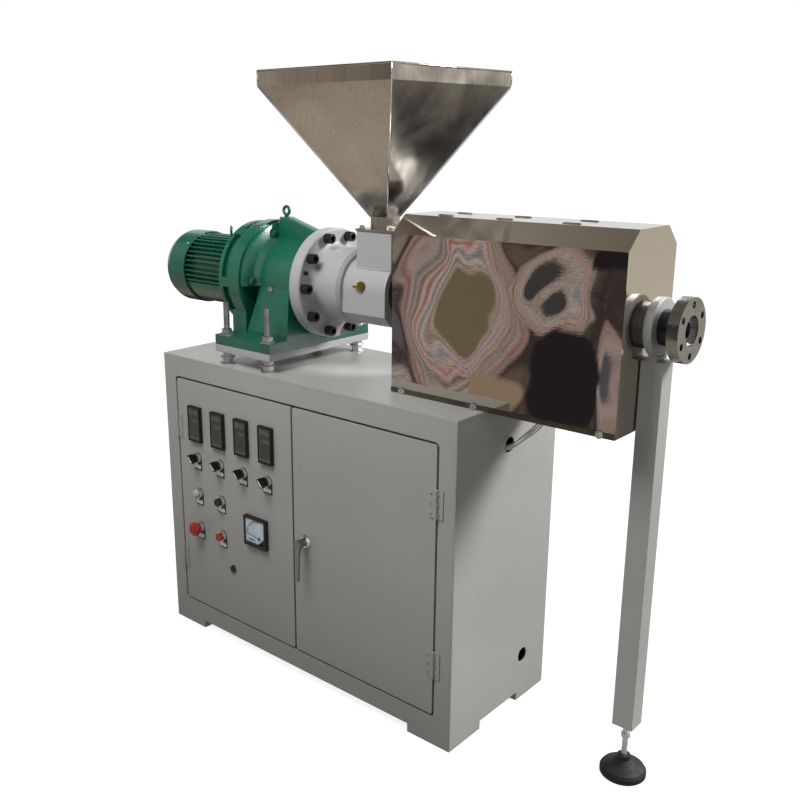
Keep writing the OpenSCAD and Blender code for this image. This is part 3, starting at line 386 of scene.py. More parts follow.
class Look:
    """The nodes of a material or of the air, on the piece's own coordinates"""

    def __init__(self, owner):
        owner.use_nodes = True
        self.nodes = owner.node_tree.nodes
        self.links = owner.node_tree.links

    def node(self, kind, values=None, sources=None, **settings):
        """Adds a node with its settings, the values of its inputs and the sources that feed them"""
        node = self.nodes.new("ShaderNode" + kind)
        for name, setting in settings.items():
            setattr(node, name, setting)
        self.settle(node, values or {})
        for socket, source in (sources or {}).items():
            self.links.new(source, node.inputs[socket])
        return node

    def settle(self, node, values):
        """Sets the inputs of a node"""
        for socket, value in values.items():
            node.inputs[socket].default_value = value

    @cached_property
    def place(self):
        """Gives the place on the piece"""
        return self.node("TexCoord").outputs["Object"]

    def mapped(self, scale=(1, 1, 1), move=(0, 0, 0), turn=(0, 0, 0)):
        """Gives the place, stretched, moved and turned"""
        values = {"Scale": scale, "Location": move, "Rotation": turn}
        return self.node("Mapping", values, {"Vector": self.place}).outputs["Vector"]

    def noise(self, scale, detail=2.0, place=None, distortion=0.0):
        """Gives a noise of the given scale, from 0 to 1"""
        values = {"Scale": scale, "Detail": detail, "Distortion": distortion}
        return self.node("TexNoise", values, {"Vector": place or self.place}).outputs["Fac"]

    def part(self, axis):
        """Gives one of the place's coordinates"""
        return self.node("SeparateXYZ", None, {0: self.place}).outputs[axis]

    def reach(self, place):
        """Gives how far a place lies from the origin"""
        return self.node("VectorMath", None, {0: place}, operation="LENGTH").outputs["Value"]

    def spread(self, value, low, high, to_low=0.0, to_high=1.0):
        """Maps a value from one span to another and holds it there"""
        ends = {"From Min": low, "From Max": high, "To Min": to_low, "To Max": to_high}
        return self.node("MapRange", ends, {"Value": value}).outputs["Result"]

    def sum(self, a, b, how="ADD"):
        """Works on two values, of which the second may be a number"""
        if isinstance(b, (int, float)):
            return self.node("Math", {1: b}, {0: a}, operation=how).outputs[0]
        return self.node("Math", None, {0: a, 1: b}, operation=how).outputs[0]

    def colour(self, value, *stops):
        """Turns a value into a colour along (place, colour) stops"""
        ramp = self.node("ValToRGB", None, {"Fac": value})
        elements = ramp.color_ramp.elements
        elements.remove(elements[1])
        for n, (place, tint) in enumerate(stops):
            stop = elements.new(place) if n else elements[0]
            stop.position = place
            stop.color = (*tint, 1)
        return ramp.outputs["Color"]

    def mix(self, value, a, b):
        """Mixes two colours by a value"""
        first_colour, second_colour, mixed_colour = 6, 7, 2
        ends = {first_colour: a, second_colour: b}
        plain = {socket: (*tint, 1) for socket, tint in ends.items() if isinstance(tint, tuple)}
        linked = {socket: tint for socket, tint in ends.items() if not isinstance(tint, tuple)}
        return self.node("Mix", plain, {"Factor": value, **linked}, data_type="RGBA").outputs[mixed_colour]


class Finish(Look):
    """A surface finish with its tint, its roughness and its relief"""

    def __init__(self, name, tint, rough, metal=0.0, gloss=0.5, coat_weight=0.0):
        super().__init__(bpy.data.materials.new(name))
        self.shader = self.nodes["Principled BSDF"]
        self.tint = tuple(tint)
        self.settle(self.shader, {"Base Color": (*self.tint, 1), "Roughness": rough, "Metallic": metal,
                                  "Specular IOR Level": gloss, "Coat Weight": coat_weight,
                                  "Coat Roughness": 0.12})
        self.relief = {}

    def rounded(self, radius):
        """Lets light run round the edges as if they had a small radius"""
        self.relief = {"Normal": self.node("Bevel", {"Radius": radius}, samples=4).outputs["Normal"]}
        return self

    def tone(self, factor):
        """Gives the tint, made lighter or darker"""
        return tuple(min(1.0, c * factor) for c in self.tint)

    def paint(self, source):
        """Takes the base colour from a source"""
        self.links.new(source, self.shader.inputs["Base Color"])

    def roughen(self, value, low, high):
        """Lets a noise change the roughness between two ends"""
        self.links.new(self.spread(value, 0.3, 0.7, low, high), self.shader.inputs["Roughness"])

    def raise_by(self, value, depth, strength=1.0):
        """Adds a relief of the given depth in metres"""
        bump = self.node("Bump", {"Distance": depth, "Strength": strength}, {"Height": value, **self.relief})
        self.relief = {"Normal": bump.outputs["Normal"]}
        self.links.new(bump.outputs["Normal"], self.shader.inputs["Normal"])


def painted_sheet(name, tint, rough, edge, peel=0.00025, cloud=0.05, dust_and_shade=True):
    """Sprayed paint: faint clouds, orange peel, small smudges, dust near the floor, and painted shade that
    darkens the front faces towards the floor
    """
    paint = Finish(name, tint, rough, gloss=0.45).rounded(edge)
    clouds = paint.colour(paint.noise(2.4, 4), (0.3, paint.tone(1 - cloud)), (0.7, paint.tone(1 + cloud)))
    smudge = paint.spread(paint.noise(11, 6, paint.mapped((1, 1, 0.45)), 0.8), 0.60, 0.78, 0, 0.18)
    worn_and_shaded = paint.mix(smudge, clouds, paint.tone(0.80))
    if dust_and_shade:
        dust_top, painted_shade_foot, painted_shade_top = 0.16, 0.03, 0.42
        low = paint.spread(paint.part("Z"), 0.0, dust_top, 0.45, 0.0)
        worn_and_shaded = paint.mix(paint.sum(low, paint.noise(24, 5), "MULTIPLY"), worn_and_shaded, paint.tone(0.62))
        # Painted shade: the front faces are made darker towards the floor, as if less light reached their
        # lower part
        front = paint.spread(paint.part("Y"), FRONT + 0.001, FRONT + 0.006, 1.0, 0.0)
        painted_shade = paint.spread(paint.part("Z"), painted_shade_foot, painted_shade_top, 0.75, 0.0)
        worn_and_shaded = paint.mix(paint.sum(front, painted_shade, "MULTIPLY"), worn_and_shaded, paint.tone(0.68))
    speck = paint.spread(paint.noise(120, 2), 0.735, 0.76, 0, 0.5)
    paint.paint(paint.mix(speck, worn_and_shaded, paint.tone(0.55)))
    paint.roughen(paint.noise(7, 5), rough - 0.06, rough + 0.10)
    paint.raise_by(paint.noise(420, 2), peel, 0.7)
    paint.raise_by(paint.noise(3.1, 1), 0.0016, 0.6)


def cast_enamel(name, tint, rough, grain, gloss, coat_weight):
    """Enamel over a sand casting: soft grain, runs and random darker patches"""
    cast = Finish(name, tint, rough, gloss=gloss, coat_weight=coat_weight).rounded(sizes().casting_edge)
    clouds = cast.colour(cast.noise(6, 5, None, 0.5), (0.30, cast.tone(0.74)), (0.52, cast.tone(1.0)),
                         (0.75, cast.tone(1.22)))
    grime = cast.spread(cast.noise(30, 6), 0.62, 0.80, 0, 0.35)
    cast.paint(cast.mix(grime, clouds, cast.tone(0.45)))
    cast.roughen(cast.noise(16, 5), rough - 0.07, rough + 0.12)
    cast.raise_by(cast.noise(150, 3), grain, 0.8)
    cast.raise_by(cast.noise(34, 2), grain * 3, 0.5)


def moulding(name, tint, rough, gloss=0.5):
    """Moulded plastic: fine grain and faint rubbing"""
    plastic = Finish(name, tint, rough, gloss=gloss)
    rubbing = plastic.noise(60, 5)
    plastic.paint(plastic.colour(rubbing, (0.35, plastic.tone(0.86)), (0.72, plastic.tone(1.16))))
    plastic.roughen(plastic.noise(90, 4), rough - 0.08, rough + 0.12)
    plastic.raise_by(plastic.noise(1500, 2), 0.00008, 0.6)


def plated(name, tint, low, high, grain, stretch=(1, 1, 1), *, tarnish):
    """Plated or bare metal: polish lines, finger marks and a little tarnish"""
    metal = Finish(name, tint, low, metal=1.0)
    marks = metal.noise(26, 6, None, 0.4)
    metal.paint(metal.colour(marks, (0.28, metal.tone(tarnish)), (0.66, metal.tone(1.0))))
    metal.roughen(metal.noise(70, 5), low, high)
    metal.raise_by(metal.noise(grain, 2, metal.mapped(stretch)), 0.00006, 0.5)


def guard_mirror(tint):
    """Polished sheet of the guard: a mirror that bends a little, duller on its sloping bend"""
    mirror = Finish("guard_mirror", tint, 0.05, metal=1.0)
    bend_height, blend = 0.040, 0.002
    shoulder = corners("guard_cover")[1].z - bend_height
    satin = mirror.spread(mirror.part("Z"), shoulder - blend, shoulder + blend)
    haze = mirror.spread(mirror.noise(9, 5, None, 0.6), 0.42, 0.72, 0.012, 0.030)
    mirror.links.new(mirror.sum(haze, mirror.sum(satin, 0.05, "MULTIPLY")), mirror.shader.inputs["Roughness"])
    mirror.paint(mirror.colour(mirror.noise(3, 4), (0.3, mirror.tone(0.88)), (0.7, mirror.tone(1.0))))
    mirror.raise_by(mirror.noise(4.5, 0.8, None, 0.6), 0.0045)
    mirror.raise_by(mirror.noise(700, 2, mirror.mapped((0.03, 1, 1))), 0.00005, 0.25)


def hopper_sheet(tint):
    """Mill sheet of the hopper: upright streaks and shallow dents"""
    hopper = Finish("hopper_sheet", tint, 0.16, metal=1.0)
    streak = hopper.noise(260, 4, hopper.mapped((1, 1, 0.015)))
    hopper.paint(hopper.colour(hopper.sum(streak, hopper.noise(5, 4), "MULTIPLY"), (0.12, hopper.tone(0.72)),
                               (0.42, hopper.tone(1.0))))
    hopper.roughen(hopper.noise(9, 5, None, 0.7), 0.14, 0.27)
    hopper.raise_by(hopper.noise(5.5, 2, None, 0.4), 0.004)
    hopper.raise_by(streak, 0.00006, 0.5)


def brushed_sheet(tint):
    """Brushed sheet of the guard's ends"""
    brushed = Finish("brushed_sheet", tint, 0.24, metal=1.0)
    brushing = brushed.noise(420, 3, brushed.mapped((1, 0.02, 1)))
    brushed.paint(brushed.colour(brushing, (0.3, brushed.tone(0.94)), (0.7, brushed.tone(1.0))))
    brushed.roughen(brushed.noise(12, 5), 0.07, 0.15)
    brushed.raise_by(brushed.noise(5, 1), 0.002)
    brushed.raise_by(brushing, 0.00002, 0.2)


def turned_steel(tint):
    """Turned steel of the die: tool lines and dark stains"""
    steel = Finish("turned_steel", tint, 0.28, metal=1.0)
    turning = steel.noise(1600, 2, steel.mapped((1, 0.02, 0.02)))
    stain = steel.spread(steel.noise(18, 6, None, 0.8), 0.50, 0.72, 0, 0.55)
    steel.paint(steel.mix(stain, steel.tone(0.95), steel.tone(0.55)))
    steel.roughen(steel.noise(40, 5), 0.16, 0.32)
    steel.raise_by(turning, 0.00006, 0.6)


def dial_card():
    """Card of the meter: pale with faint blue clouds"""
    blue, pale = shade(176, 190, 204), shade(206, 214, 222)
    card = Finish("dial_card", pale, 0.45)
    card.paint(card.colour(card.noise(30, 4), (0.3, blue), (0.7, pale)))
    card.roughen(card.noise(120, 3), 0.38, 0.55)
    card.raise_by(card.noise(900, 2), 0.00004, 0.5)


def braided_sleeve(tint):
    """Glass-fibre sleeve: crossed strands along the lead and a little soot"""
    sleeve = Finish("braided_sleeve", tint, 0.72, gloss=0.3)
    weave = []
    for slant in (0.9, -0.9):
        wave = sleeve.node("TexWave", {"Scale": 330, "Distortion": 1.2},
                           {"Vector": sleeve.mapped(turn=(slant, slant, 0.4))})
        weave.append(wave.outputs["Fac"])
    strands = sleeve.sum(*weave, "MAXIMUM")
    soot = sleeve.spread(sleeve.noise(40, 5), 0.50, 0.80, 0, 0.35)
    sleeve.paint(sleeve.mix(soot, sleeve.colour(strands, (0.2, sleeve.tone(0.88)), (0.9, sleeve.tone(1.0))),
                            sleeve.tone(0.55)))
    sleeve.roughen(sleeve.noise(200, 3), 0.62, 0.82)
    sleeve.raise_by(strands, 0.0003, 0.5)


def make_finishes():
    """Builds every finish of the machine"""
    tints = colours()
    painted_sheet("cabinet_paint", tints.cabinet, 0.31, sizes().edge)
    painted_sheet("casting_paint", tints.casting, 0.36, sizes().casting_edge, 0.0007, 0.04, dust_and_shade=False)
    cast_enamel("drive_enamel", tints.green, 0.25, 0.0005, 0.6, 0.4)
    guard_mirror(tints.stainless)
    hopper_sheet(tints.stainless)
    brushed_sheet(tints.stainless)
    turned_steel(tints.steel)
    plated("dull_steel", shade(86, 85, 83), 0.42, 0.56, 700, tarnish=0.75)
    plated("blued_steel", shade(70, 70, 72), 0.26, 0.44, 700, tarnish=0.6)
    plated("worn_lock", shade(92, 88, 82), 0.34, 0.55, 300, tarnish=0.5)
    plated("tray_sheet", shade(120, 117, 106), 0.30, 0.46, 500, (0.05, 1, 1), tarnish=0.7)
    plated("zinc_plate", tints.zinc, 0.40, 0.56, 300, tarnish=0.80)
    plated("bright_chrome", tints.chrome, 0.06, 0.17, 1200, tarnish=0.9)
    plated("lever_chrome", shade(148, 154, 162), 0.10, 0.24, 900, tarnish=0.7)
    plated("fitting_brass", tints.brass, 0.22, 0.40, 600, tarnish=0.55)
    moulding("black_moulding", tints.black, 0.42)
    moulding("black_screw", shade(30, 30, 32), 0.46, 0.4)
    moulding("pad_rubber", tints.rubber, 0.62, 0.35)
    moulding("red_moulding", tints.red, 0.26)
    moulding("green_button", tints.button_green, 0.30)
    moulding("white_moulding", tints.white, 0.34)
    moulding("lamp_lens", shade(176, 177, 174), 0.22)
    moulding("key_strip", shade(66, 98, 88), 0.40)
    moulding("display_band", shade(82, 83, 82), 0.30)
    moulding("dark_window", shade(58, 60, 58), 0.24)
    moulding("needle_dark", shade(58, 58, 62), 0.40)
    dial_card()
    braided_sleeve(tints.leads)


SELECTORS = ("selector_1", "selector_2", "selector_3", "selector_4")
NODE_FINISHES = {
    "cabinet_paint": ("cabinet_top", "cabinet_floor", "cabinet_back", "cabinet_side_left",
                      "cabinet_side_right", "front_header", "front_sill", "front_stiles", "frame_hinges",
                      "control_door", "plain_door", "support_leg"),
    "casting_paint": ("base_plate", "adapter_flange", "feed_housing", "barrel_disc"),
    "drive_enamel": ("gear_housing", "gear_ring", "input_lantern", "gear_eye", "motor_case", "motor_cowl",
                     "motor_eye", "terminal_box"),
    "guard_mirror": ("guard_cover",),
    "hopper_sheet": ("hopper", "hopper_throat"),
    "brushed_sheet": ("guard_rear_end", "guard_die_end"),
    "tray_sheet": ("guard_bottom",),
    "turned_steel": ("die_flange",),
    "dull_steel": ("barrel", "barrel_collar"),
    "blued_steel": ("die_neck",),
    "zinc_plate": ("levelling_studs", "leg_stud"),
    "fitting_brass": ("cooling_fitting",),
    "bright_chrome": ("control_rings", "handle_rosette"),
    "lever_chrome": ("lock_lever",),
    "worn_lock": ("door_lock",),
    "black_moulding": ("temperature_controllers", "meter_case", "label_plates", *SELECTORS),
    "dial_card": ("meter_dial",),
    "lamp_lens": ("indicator_lamp",),
    "green_button": ("start_button",),
    "red_moulding": ("stop_button", "emergency_stop"),
    "pad_rubber": ("foot_pad",),
    "braided_sleeve": ("heater_leads",),
}


class EXTRUDER_OT_finishes(bpy.types.Operator):
    """Build the finishes and lay them on the frame's own parts"""

    bl_idname = "extruder.finishes"
    bl_label = "Finishes"

    def execute(self, context):
        make_finishes()
        left = set(NODES)
        for finish, nodes in NODE_FINISHES.items():
            for node in nodes:
                for slot in NODES[node].material_slots:
                    slot.material = bpy.data.materials[finish]
                left.discard(node)
        if left:
            raise RuntimeError("no finish for " + ", ".join(sorted(left)))
        return {"FINISHED"}


# Pieces


# Middle of the bundle in millimetres: out from the cabinet's right wall, back, and up from its top
LEAD_ROUTE = ((-17, 0, -110), (-7, 0, -107), (3, 0, -102), (13, 0.5, -95), (22, 1, -87), (31, 2, -78.5),
              (40, 3, -70), (49, 4, -61.5), (57.5, 5, -53), (65.5, 6, -44), (73, 7, -35), (79.5, 8, -26),
              (84.5, 8.5, -17), (87, 9, -9), (87, 9, 0))


class EXTRUDER_OT_leads(bpy.types.Operator):
    """Lay the braided heater leads from the cabinet's side up into the guard"""

    bl_idname = "extruder.leads"
    bl_label = "Heater leads"

    def execute(self, context):
        lead, count = sizes().lead, sizes().lead_count
        bundle_half = 0.008
        mouth = Vector((corners("cabinet_side_right")[1].x, corners("heater_leads")[0].y + bundle_half, TOP))
        route = [mouth + Vector(point) / 1000 for point in LEAD_ROUTE]
        for number in range(count):
            points = self.strand(route, number, count, lead * 1.05)
            piece = self.sleeve(f"heater_lead_{number + 1}", points, lead)
            context.collection.objects.link(piece)
            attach(piece, "machine")
            if number == 0:
                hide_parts("heater_leads")
        return {"FINISHED"}

    def strand(self, route, number, count, ring):
        """Gives the points of one lead, which winds slowly round the route and hangs a little loose"""
        last = len(route) - 1
        twist = 0.16
        slack = 0.35 * (1 if number % 2 else 0.3)
        points = []
        for step, point in enumerate(route):
            ahead = route[min(step + 1, last)] - route[max(step - 1, 0)]
            side = ahead.cross(BACK).normalized()
            lift = side.cross(ahead).normalized()
            turn = tau * number / count + step * twist
            loose = ring * (1 + slack * sin(pi * step / last))
            points.append(point + side * loose * cos(turn) + lift * loose * sin(turn))
        return points

    def sleeve(self, name, points, lead):
        """Makes the round sleeve of one lead along its points"""
        path = bpy.data.curves.new("heater_lead", "CURVE")
        path.dimensions = "3D"
        path.bevel_depth = lead / 2
        path.bevel_resolution = 3
        path.use_fill_caps = True
        spline = path.splines.new("POLY")
        spline.points.add(len(points) - 1)
        for knot, point in zip(spline.points, points):
            knot.co = (*point, 1)
        path.materials.append(bpy.data.materials["braided_sleeve"])
        return bpy.data.objects.new(name, path)


def round_axis(radius, x, angle):
    """Gives a point round the barrel's axis, by its angle from the top towards the front"""
    return Vector((x, AXIS.y - radius * sin(angle), AXIS.z + radius * cos(angle)))


class EXTRUDER_OT_flange_screws(bpy.types.Operator):
    """Stand the black socket screws and the jack screws on the adapter flange"""

    bl_idname = "extruder.flange_screws"
    bl_label = "Flange screws"

    def execute(self, context):
        s = sizes()
        face = corners("adapter_flange")[0].x + s.flange_thick
        step = tau / s.flange_count
        jack_head, jack_sunk = s.flange_head * 0.42, 0.002
        rows = (("flange_screws", s.flange_head, face, [n + 0.5 for n in range(s.flange_count)]),
                ("flange_jack_screws", jack_head, face - jack_sunk, (2, s.flange_count - 2)))
        for name, head, seat, steps in rows:
            placings = [standing(round_axis(s.flange_circle, seat, step * n), OUT) for n in steps]
            fixings(name, socket_head(head), placings, finish="black_screw")
        return {"FINISHED"}


class EXTRUDER_OT_drive_bolts(bpy.types.Operator):
    """Stand the bolts on the gear ring and the plug in the gear housing"""

    bl_idname = "extruder.drive_bolts"
    bl_label = "Drive bolts"

    def execute(self, context):
        s = sizes()
        boss_height, washer = 0.016, 0.0016
        boss = soften(disc(s.ring_flats * 0.78, boss_height, 28), 0.002, level_rim(boss_height))
        head = hex_head(s.ring_flats, s.ring_flats * 0.55, washer)
        head.data.transform(Matrix.Translation(UP * boss_height))
        seat = corners("gear_ring")[1].x + 0.001
        places = [round_axis(s.ring_circle, seat, radians(turn)) for turn in (90, 18, -18, -90)]
        placings = [standing(place, OUT) for place in places]
        fixings("gear_ring_bolts", join([boss, head]), placings, finish="drive_enamel")

        drum, before_flange, under_axis, sunk = 0.101, 0.095, 0.016, 0.002
        place = Vector((corners("adapter_flange")[0].x - before_flange,
                        AXIS.y - sqrt(drum ** 2 - under_axis ** 2) + sunk, AXIS.z - under_axis))
        plug = hex_head(s.plug_flats, s.plug_flats / 2, 0.0015)
        plug.data.transform(standing(place, -BACK))
        keep(plug, "oil_plug", "machine", "zinc_plate")
        return {"FINISHED"}


def grid(xs, ys, inset):
    """Gives the four points that lie inside the ends of two spans"""
    return [(x, y) for x in (xs[0] + inset, xs[1] - inset) for y in (ys[0] + inset, ys[1] - inset)]


class EXTRUDER_OT_throat_bolts(bpy.types.Operator):
    """Stand the small bolts on the hopper's throat plate"""

    bl_idname = "extruder.throat_bolts"
    bl_label = "Throat bolts"

    def execute(self, context):
        flats = sizes().plate_flats
        low, high = corners("hopper_throat")
        plate, inset, washer = 0.005, 0.011, 0.0012
        placings = [standing(Vector((x, y, low.z + plate)), UP)
                    for x, y in grid((low.x, high.x), (low.y, high.y), inset)]
        fixings("throat_bolts", hex_head(flats, flats * 0.6, washer), placings)
        return {"FINISHED"}


class EXTRUDER_OT_feed_weld(bpy.types.Operator):
    """Lay the weld beads where the feed box meets the round housing"""

    bl_idname = "extruder.feed_weld"
    bl_label = "Feed box welds"

    def execute(self, context):
        low, high = corners("feed_housing")
        plate_low, plate_high = corners("hopper_throat")
        inset, short, bead = 0.002, 0.001, 0.0022
        radius = (high.y - low.y) / 2
        half = (plate_high.y - plate_low.y) / 2 - inset
        z = AXIS.z + sqrt(radius ** 2 - half ** 2)
        beads = [rod((plate_low.x + inset, y, z), (high.x - short, y, z), bead, 8)
                 for y in (AXIS.y - half, AXIS.y + half)]
        keep(join(beads), "feed_box_welds", "machine", "casting_paint", 60)
        return {"FINISHED"}


class EXTRUDER_OT_motor_screws(bpy.types.Operator):
    """Set the screws of the fan cowl and of the terminal box"""

    bl_idname = "extruder.motor_screws"
    bl_label = "Motor screws"

    def execute(self, context):
        head, from_rim, inset, sunk = 0.008, 0.012, 0.010, 0.0003
        low, high = corners("motor_cowl")
        radius = (high.z - low.z) / 2
        placings = []
        for turn in (45, 135, 225, 315):
            place = round_axis(radius - sunk, high.x - from_rim, radians(turn))
            placings.append(standing(place, place - Vector((place.x, AXIS.y, AXIS.z))))
        low, high = corners("terminal_box")
        placings += [standing(Vector((x, high.y, z)), BACK)
                     for x, z in grid((low.x, high.x), (low.z, high.z), inset)]
        fixings("motor_screws", pan_head(head, 0.5), placings)
        return {"FINISHED"}


class EXTRUDER_OT_hopper_seams(bpy.types.Operator):
    """Weld the hopper's corner seams and turn the wire edge round its mouth"""

    bl_idname = "extruder.hopper_seams"
    bl_label = "Hopper seams"

    def execute(self, context):
        seam = sizes().seam
        low, high = corners("hopper")
        centre = middle("hopper")
        throat, rim, upright = 0.024, 0.034, 0.033
        seams = []
        for sx, sy in ((-1, -1), (1, -1), (1, 1), (-1, 1)):
            corner = Vector((high.x if sx > 0 else low.x, high.y if sy > 0 else low.y, high.z - rim))
            foot = Vector((centre.x + sx * throat, centre.y + sy * throat, low.z))
            seams.append(rod(foot, corner, seam))
            seams.append(rod(corner, corner + UP * upright, seam * 0.8))
        keep(join(seams), "hopper_corner_seams", "machine", "bright_chrome", 60)
        mouth = [Vector((x, y, high.z - seam))
                 for x, y in ((high.x, low.y), (high.x, high.y), (low.x, high.y), (low.x, low.y))]
        edge = [rod(a, b, seam) for a, b in zip(mouth, mouth[1:] + mouth[:1])]
        keep(join(edge), "hopper_wire_edge", "machine", "hopper_sheet", 60)
        return {"FINISHED"}


class EXTRUDER_OT_guard_trim(bpy.types.Operator):
    """Screw the guard into its tray and raise the lanced vents on its roof"""

    bl_idname = "extruder.guard_trim"
    bl_label = "Guard trim"

    def execute(self, context):
        low, high = corners("guard_bottom")
        screw_flats, screw_height, screw_lift = 0.010, 0.005, 0.0055
        spots = [low.x + (high.x - low.x) * share for share in (0.056, 0.41, 0.94)]
        placings = [standing(Vector((x, y, low.z + screw_lift)), way)
                    for y, way in ((low.y, -BACK), (high.y, BACK)) for x in spots]
        fixings("tray_screws", hex_head(screw_flats, screw_height, 0.0014), placings)

        low, high = corners("guard_cover")
        half_long, half_wide, sunk, proud, from_ridge = 0.024, 0.004, 0.001, 0.0024, 0.035
        vent = block((-half_long, -half_wide, -sunk), (half_long, half_wide, proud))
        pick(vent, "FACE", facing(UP))
        bpy.ops.transform.resize(value=(0.7, 0.35, 1))
        bpy.ops.object.mode_set(mode="OBJECT")
        soften(vent, 0.0007)
        ridge = middle("guard_cover").y
        placings = [Matrix.Translation((low.x + (high.x - low.x) * share, ridge + side * from_ridge, high.z))
                    for share in (0.17, 0.44, 0.72) for side in (-1, 1)]
        fixings("guard_vents", vent, placings, finish="brushed_sheet")
        return {"FINISHED"}


class EXTRUDER_OT_studs(bpy.types.Operator):
    """Cut the threads on the levelling studs and set their nuts"""

    bl_idname = "extruder.studs"
    bl_label = "Threaded studs"

    def execute(self, context):
        low, high = corners("levelling_studs")
        stud, nut_under_plate, foot_thick, washer = 0.016, 0.0155, 0.025, 0.0026
        bar = threaded(stud, sizes().stud_pitch, high.z - TOP)
        bar.data.transform(Matrix.Translation(UP * TOP))
        stack = [bar]
        plate_foot, gear_foot = corners("base_plate")[0].z, corners("gear_housing")[0].z
        for base in (TOP, plate_foot - nut_under_plate, gear_foot + foot_thick):
            nut = hex_head(stud * 1.5, stud * 0.8, washer)
            nut.data.transform(Matrix.Translation(UP * base))
            stack.append(nut)
        spots = grid((low.x, high.x), (low.y, high.y), stud * 0.95)
        piece = fixings("levelling_stud_set", join(stack), [Matrix.Translation((x, y, 0)) for x, y in spots])
        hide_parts("levelling_studs")
        return {"FINISHED"}


def front_of(node):
    """Gives the middle of a control's front"""
    return Vector((middle(node).x, corners(node)[0].y, middle(node).z))


def turned_on(place, degrees):
    """Gives the placing of a mark that turns about a place on the front"""
    return Matrix.Translation(place) @ Matrix.Rotation(radians(degrees), 4, "Y")


KEY_STEP = 0.0097
# Finish, ends across, ends up and thickness of what stands in a controller's front
CONTROLLER_PANELS = (
    ("dark_window", (-0.0200, 0.0200), (-0.0435, 0.0435), 0.0006),
    ("display_band", (-0.0180, 0.0180), (0.0270, 0.0380), 0.0009),
    ("display_band", (-0.0060, 0.0165), (0.0060, 0.0150), 0.0009),
    *(("key_strip", (-0.0185 + KEY_STEP * n, -0.0107 + KEY_STEP * n), (-0.0400, -0.0352), 0.0012)
      for n in range(4)),
)


class EXTRUDER_OT_controllers(bpy.types.Operator):
    """Build the fronts of the temperature controllers"""

    bl_idname = "extruder.controllers"
    bl_label = "Controllers"

    def execute(self, context):
        low, high = corners("temperature_controllers")
        count, wide, tall = 4, 0.048, high.z - low.z
        proud, sunk, rim, recess = 0.0015, 0.001, 0.0032, 0.0012
        front = low.y
        bezel = block((-wide / 2, front - proud, -tall / 2), (wide / 2, front + sunk, tall / 2))
        sink(bezel, facing(-BACK), rim, BACK * recess)
        soften(bezel, 0.0006, lambda place, way: place.y < front - 0.001)
        parts = [coat(bezel, "black_moulding")]
        for finish, across, up, thick in CONTROLLER_PANELS:
            plate = block((across[0], front - thick, up[0]), (across[1], front, up[1]))
            soften(plate, 0.0004, lambda place, way: place.y < front - thick * 0.9, 1)
            parts.append(coat(plate, finish))
        unit = join(parts)
        step = (high.x - low.x - wide) / (count - 1)
        first = Vector((low.x + wide / 2, 0, (low.z + high.z) / 2))
        placings = [Matrix.Translation(first + OUT * step * n) for n in range(count)]
        fixings("controller_fronts", unit, placings, "control_door", None)
        return {"FINISHED"}


# Share of the button that its dished face takes, its slot and its finish
BUTTON_FACES = {
    "emergency_stop": (0.50, "red_plastic", "red_moulding"),
    "stop_button": (0.62, "red_plastic", "red_moulding"),
    "start_button": (0.62, "dark_green_plastic", "green_button"),
}


class EXTRUDER_OT_control_marks(bpy.types.Operator):
    """Lay the blank labels under the controls, the lines on the selectors and the faces on the buttons"""

    bl_idname = "extruder.control_marks"
    bl_label = "Labels and marks"

    def execute(self, context):
        self.labels()
        for number, node in enumerate(SELECTORS, 1):
            self.line(f"selector_line_{number}", node)
        for node, (share, slot, finish) in BUTTON_FACES.items():
            self.face(node, share, slot, finish)
        return {"FINISHED"}

    def labels(self):
        """Lays one blank label under each control"""
        wide = sizes().label
        tall, under = wide * 0.42, 0.0245
        plate_front, proud, sunk = FRONT - 0.0015, 0.0006, 0.0005
        label = block((-wide / 2, plate_front - proud, -tall / 2), (wide / 2, plate_front + sunk, tall / 2))
        soften(label, 0.0012, lambda place, way: abs(way.y) > 0.9, 3)
        fronts = [front_of(node) for node in (*SELECTORS, "start_button", "stop_button", "emergency_stop",
                                              "indicator_lamp")]
        placings = [Matrix.Translation((front.x, 0, front.z - under)) for front in fronts]
        fixings("blank_labels", label, placings, "control_door", "white_moulding")

    def line(self, name, node):
        """Lays the white line on a selector's grip"""
        front = front_of(node)
        half_wide, half_long, proud, sunk = 0.0015, 0.0105, 0.0006, 0.002
        line = block((-half_wide, front.y - proud, -half_long), (half_wide, front.y + sunk, half_long))
        soften(line, 0.0003, None, 1)
        line.data.transform(turned_on((front.x, 0, front.z), -45))
        keep(line, name, node, "white_moulding")

    def face(self, node, share, slot, finish):
        """Sets the dished face on a button"""
        low, high = corners(node)
        radius = (high.x - low.x) / 2 * share
        height, dish, sunk = 0.0012, 0.0009, 0.0004
        face = soften(disc(radius, height, 32), 0.0003, level_rim(height), 1)
        sink(face, facing(UP), radius * 0.16, UP * -dish)
        face.data.transform(standing(front_of(node) + BACK * sunk, -BACK))
        keep(face, f"{node}_face", node, finish)


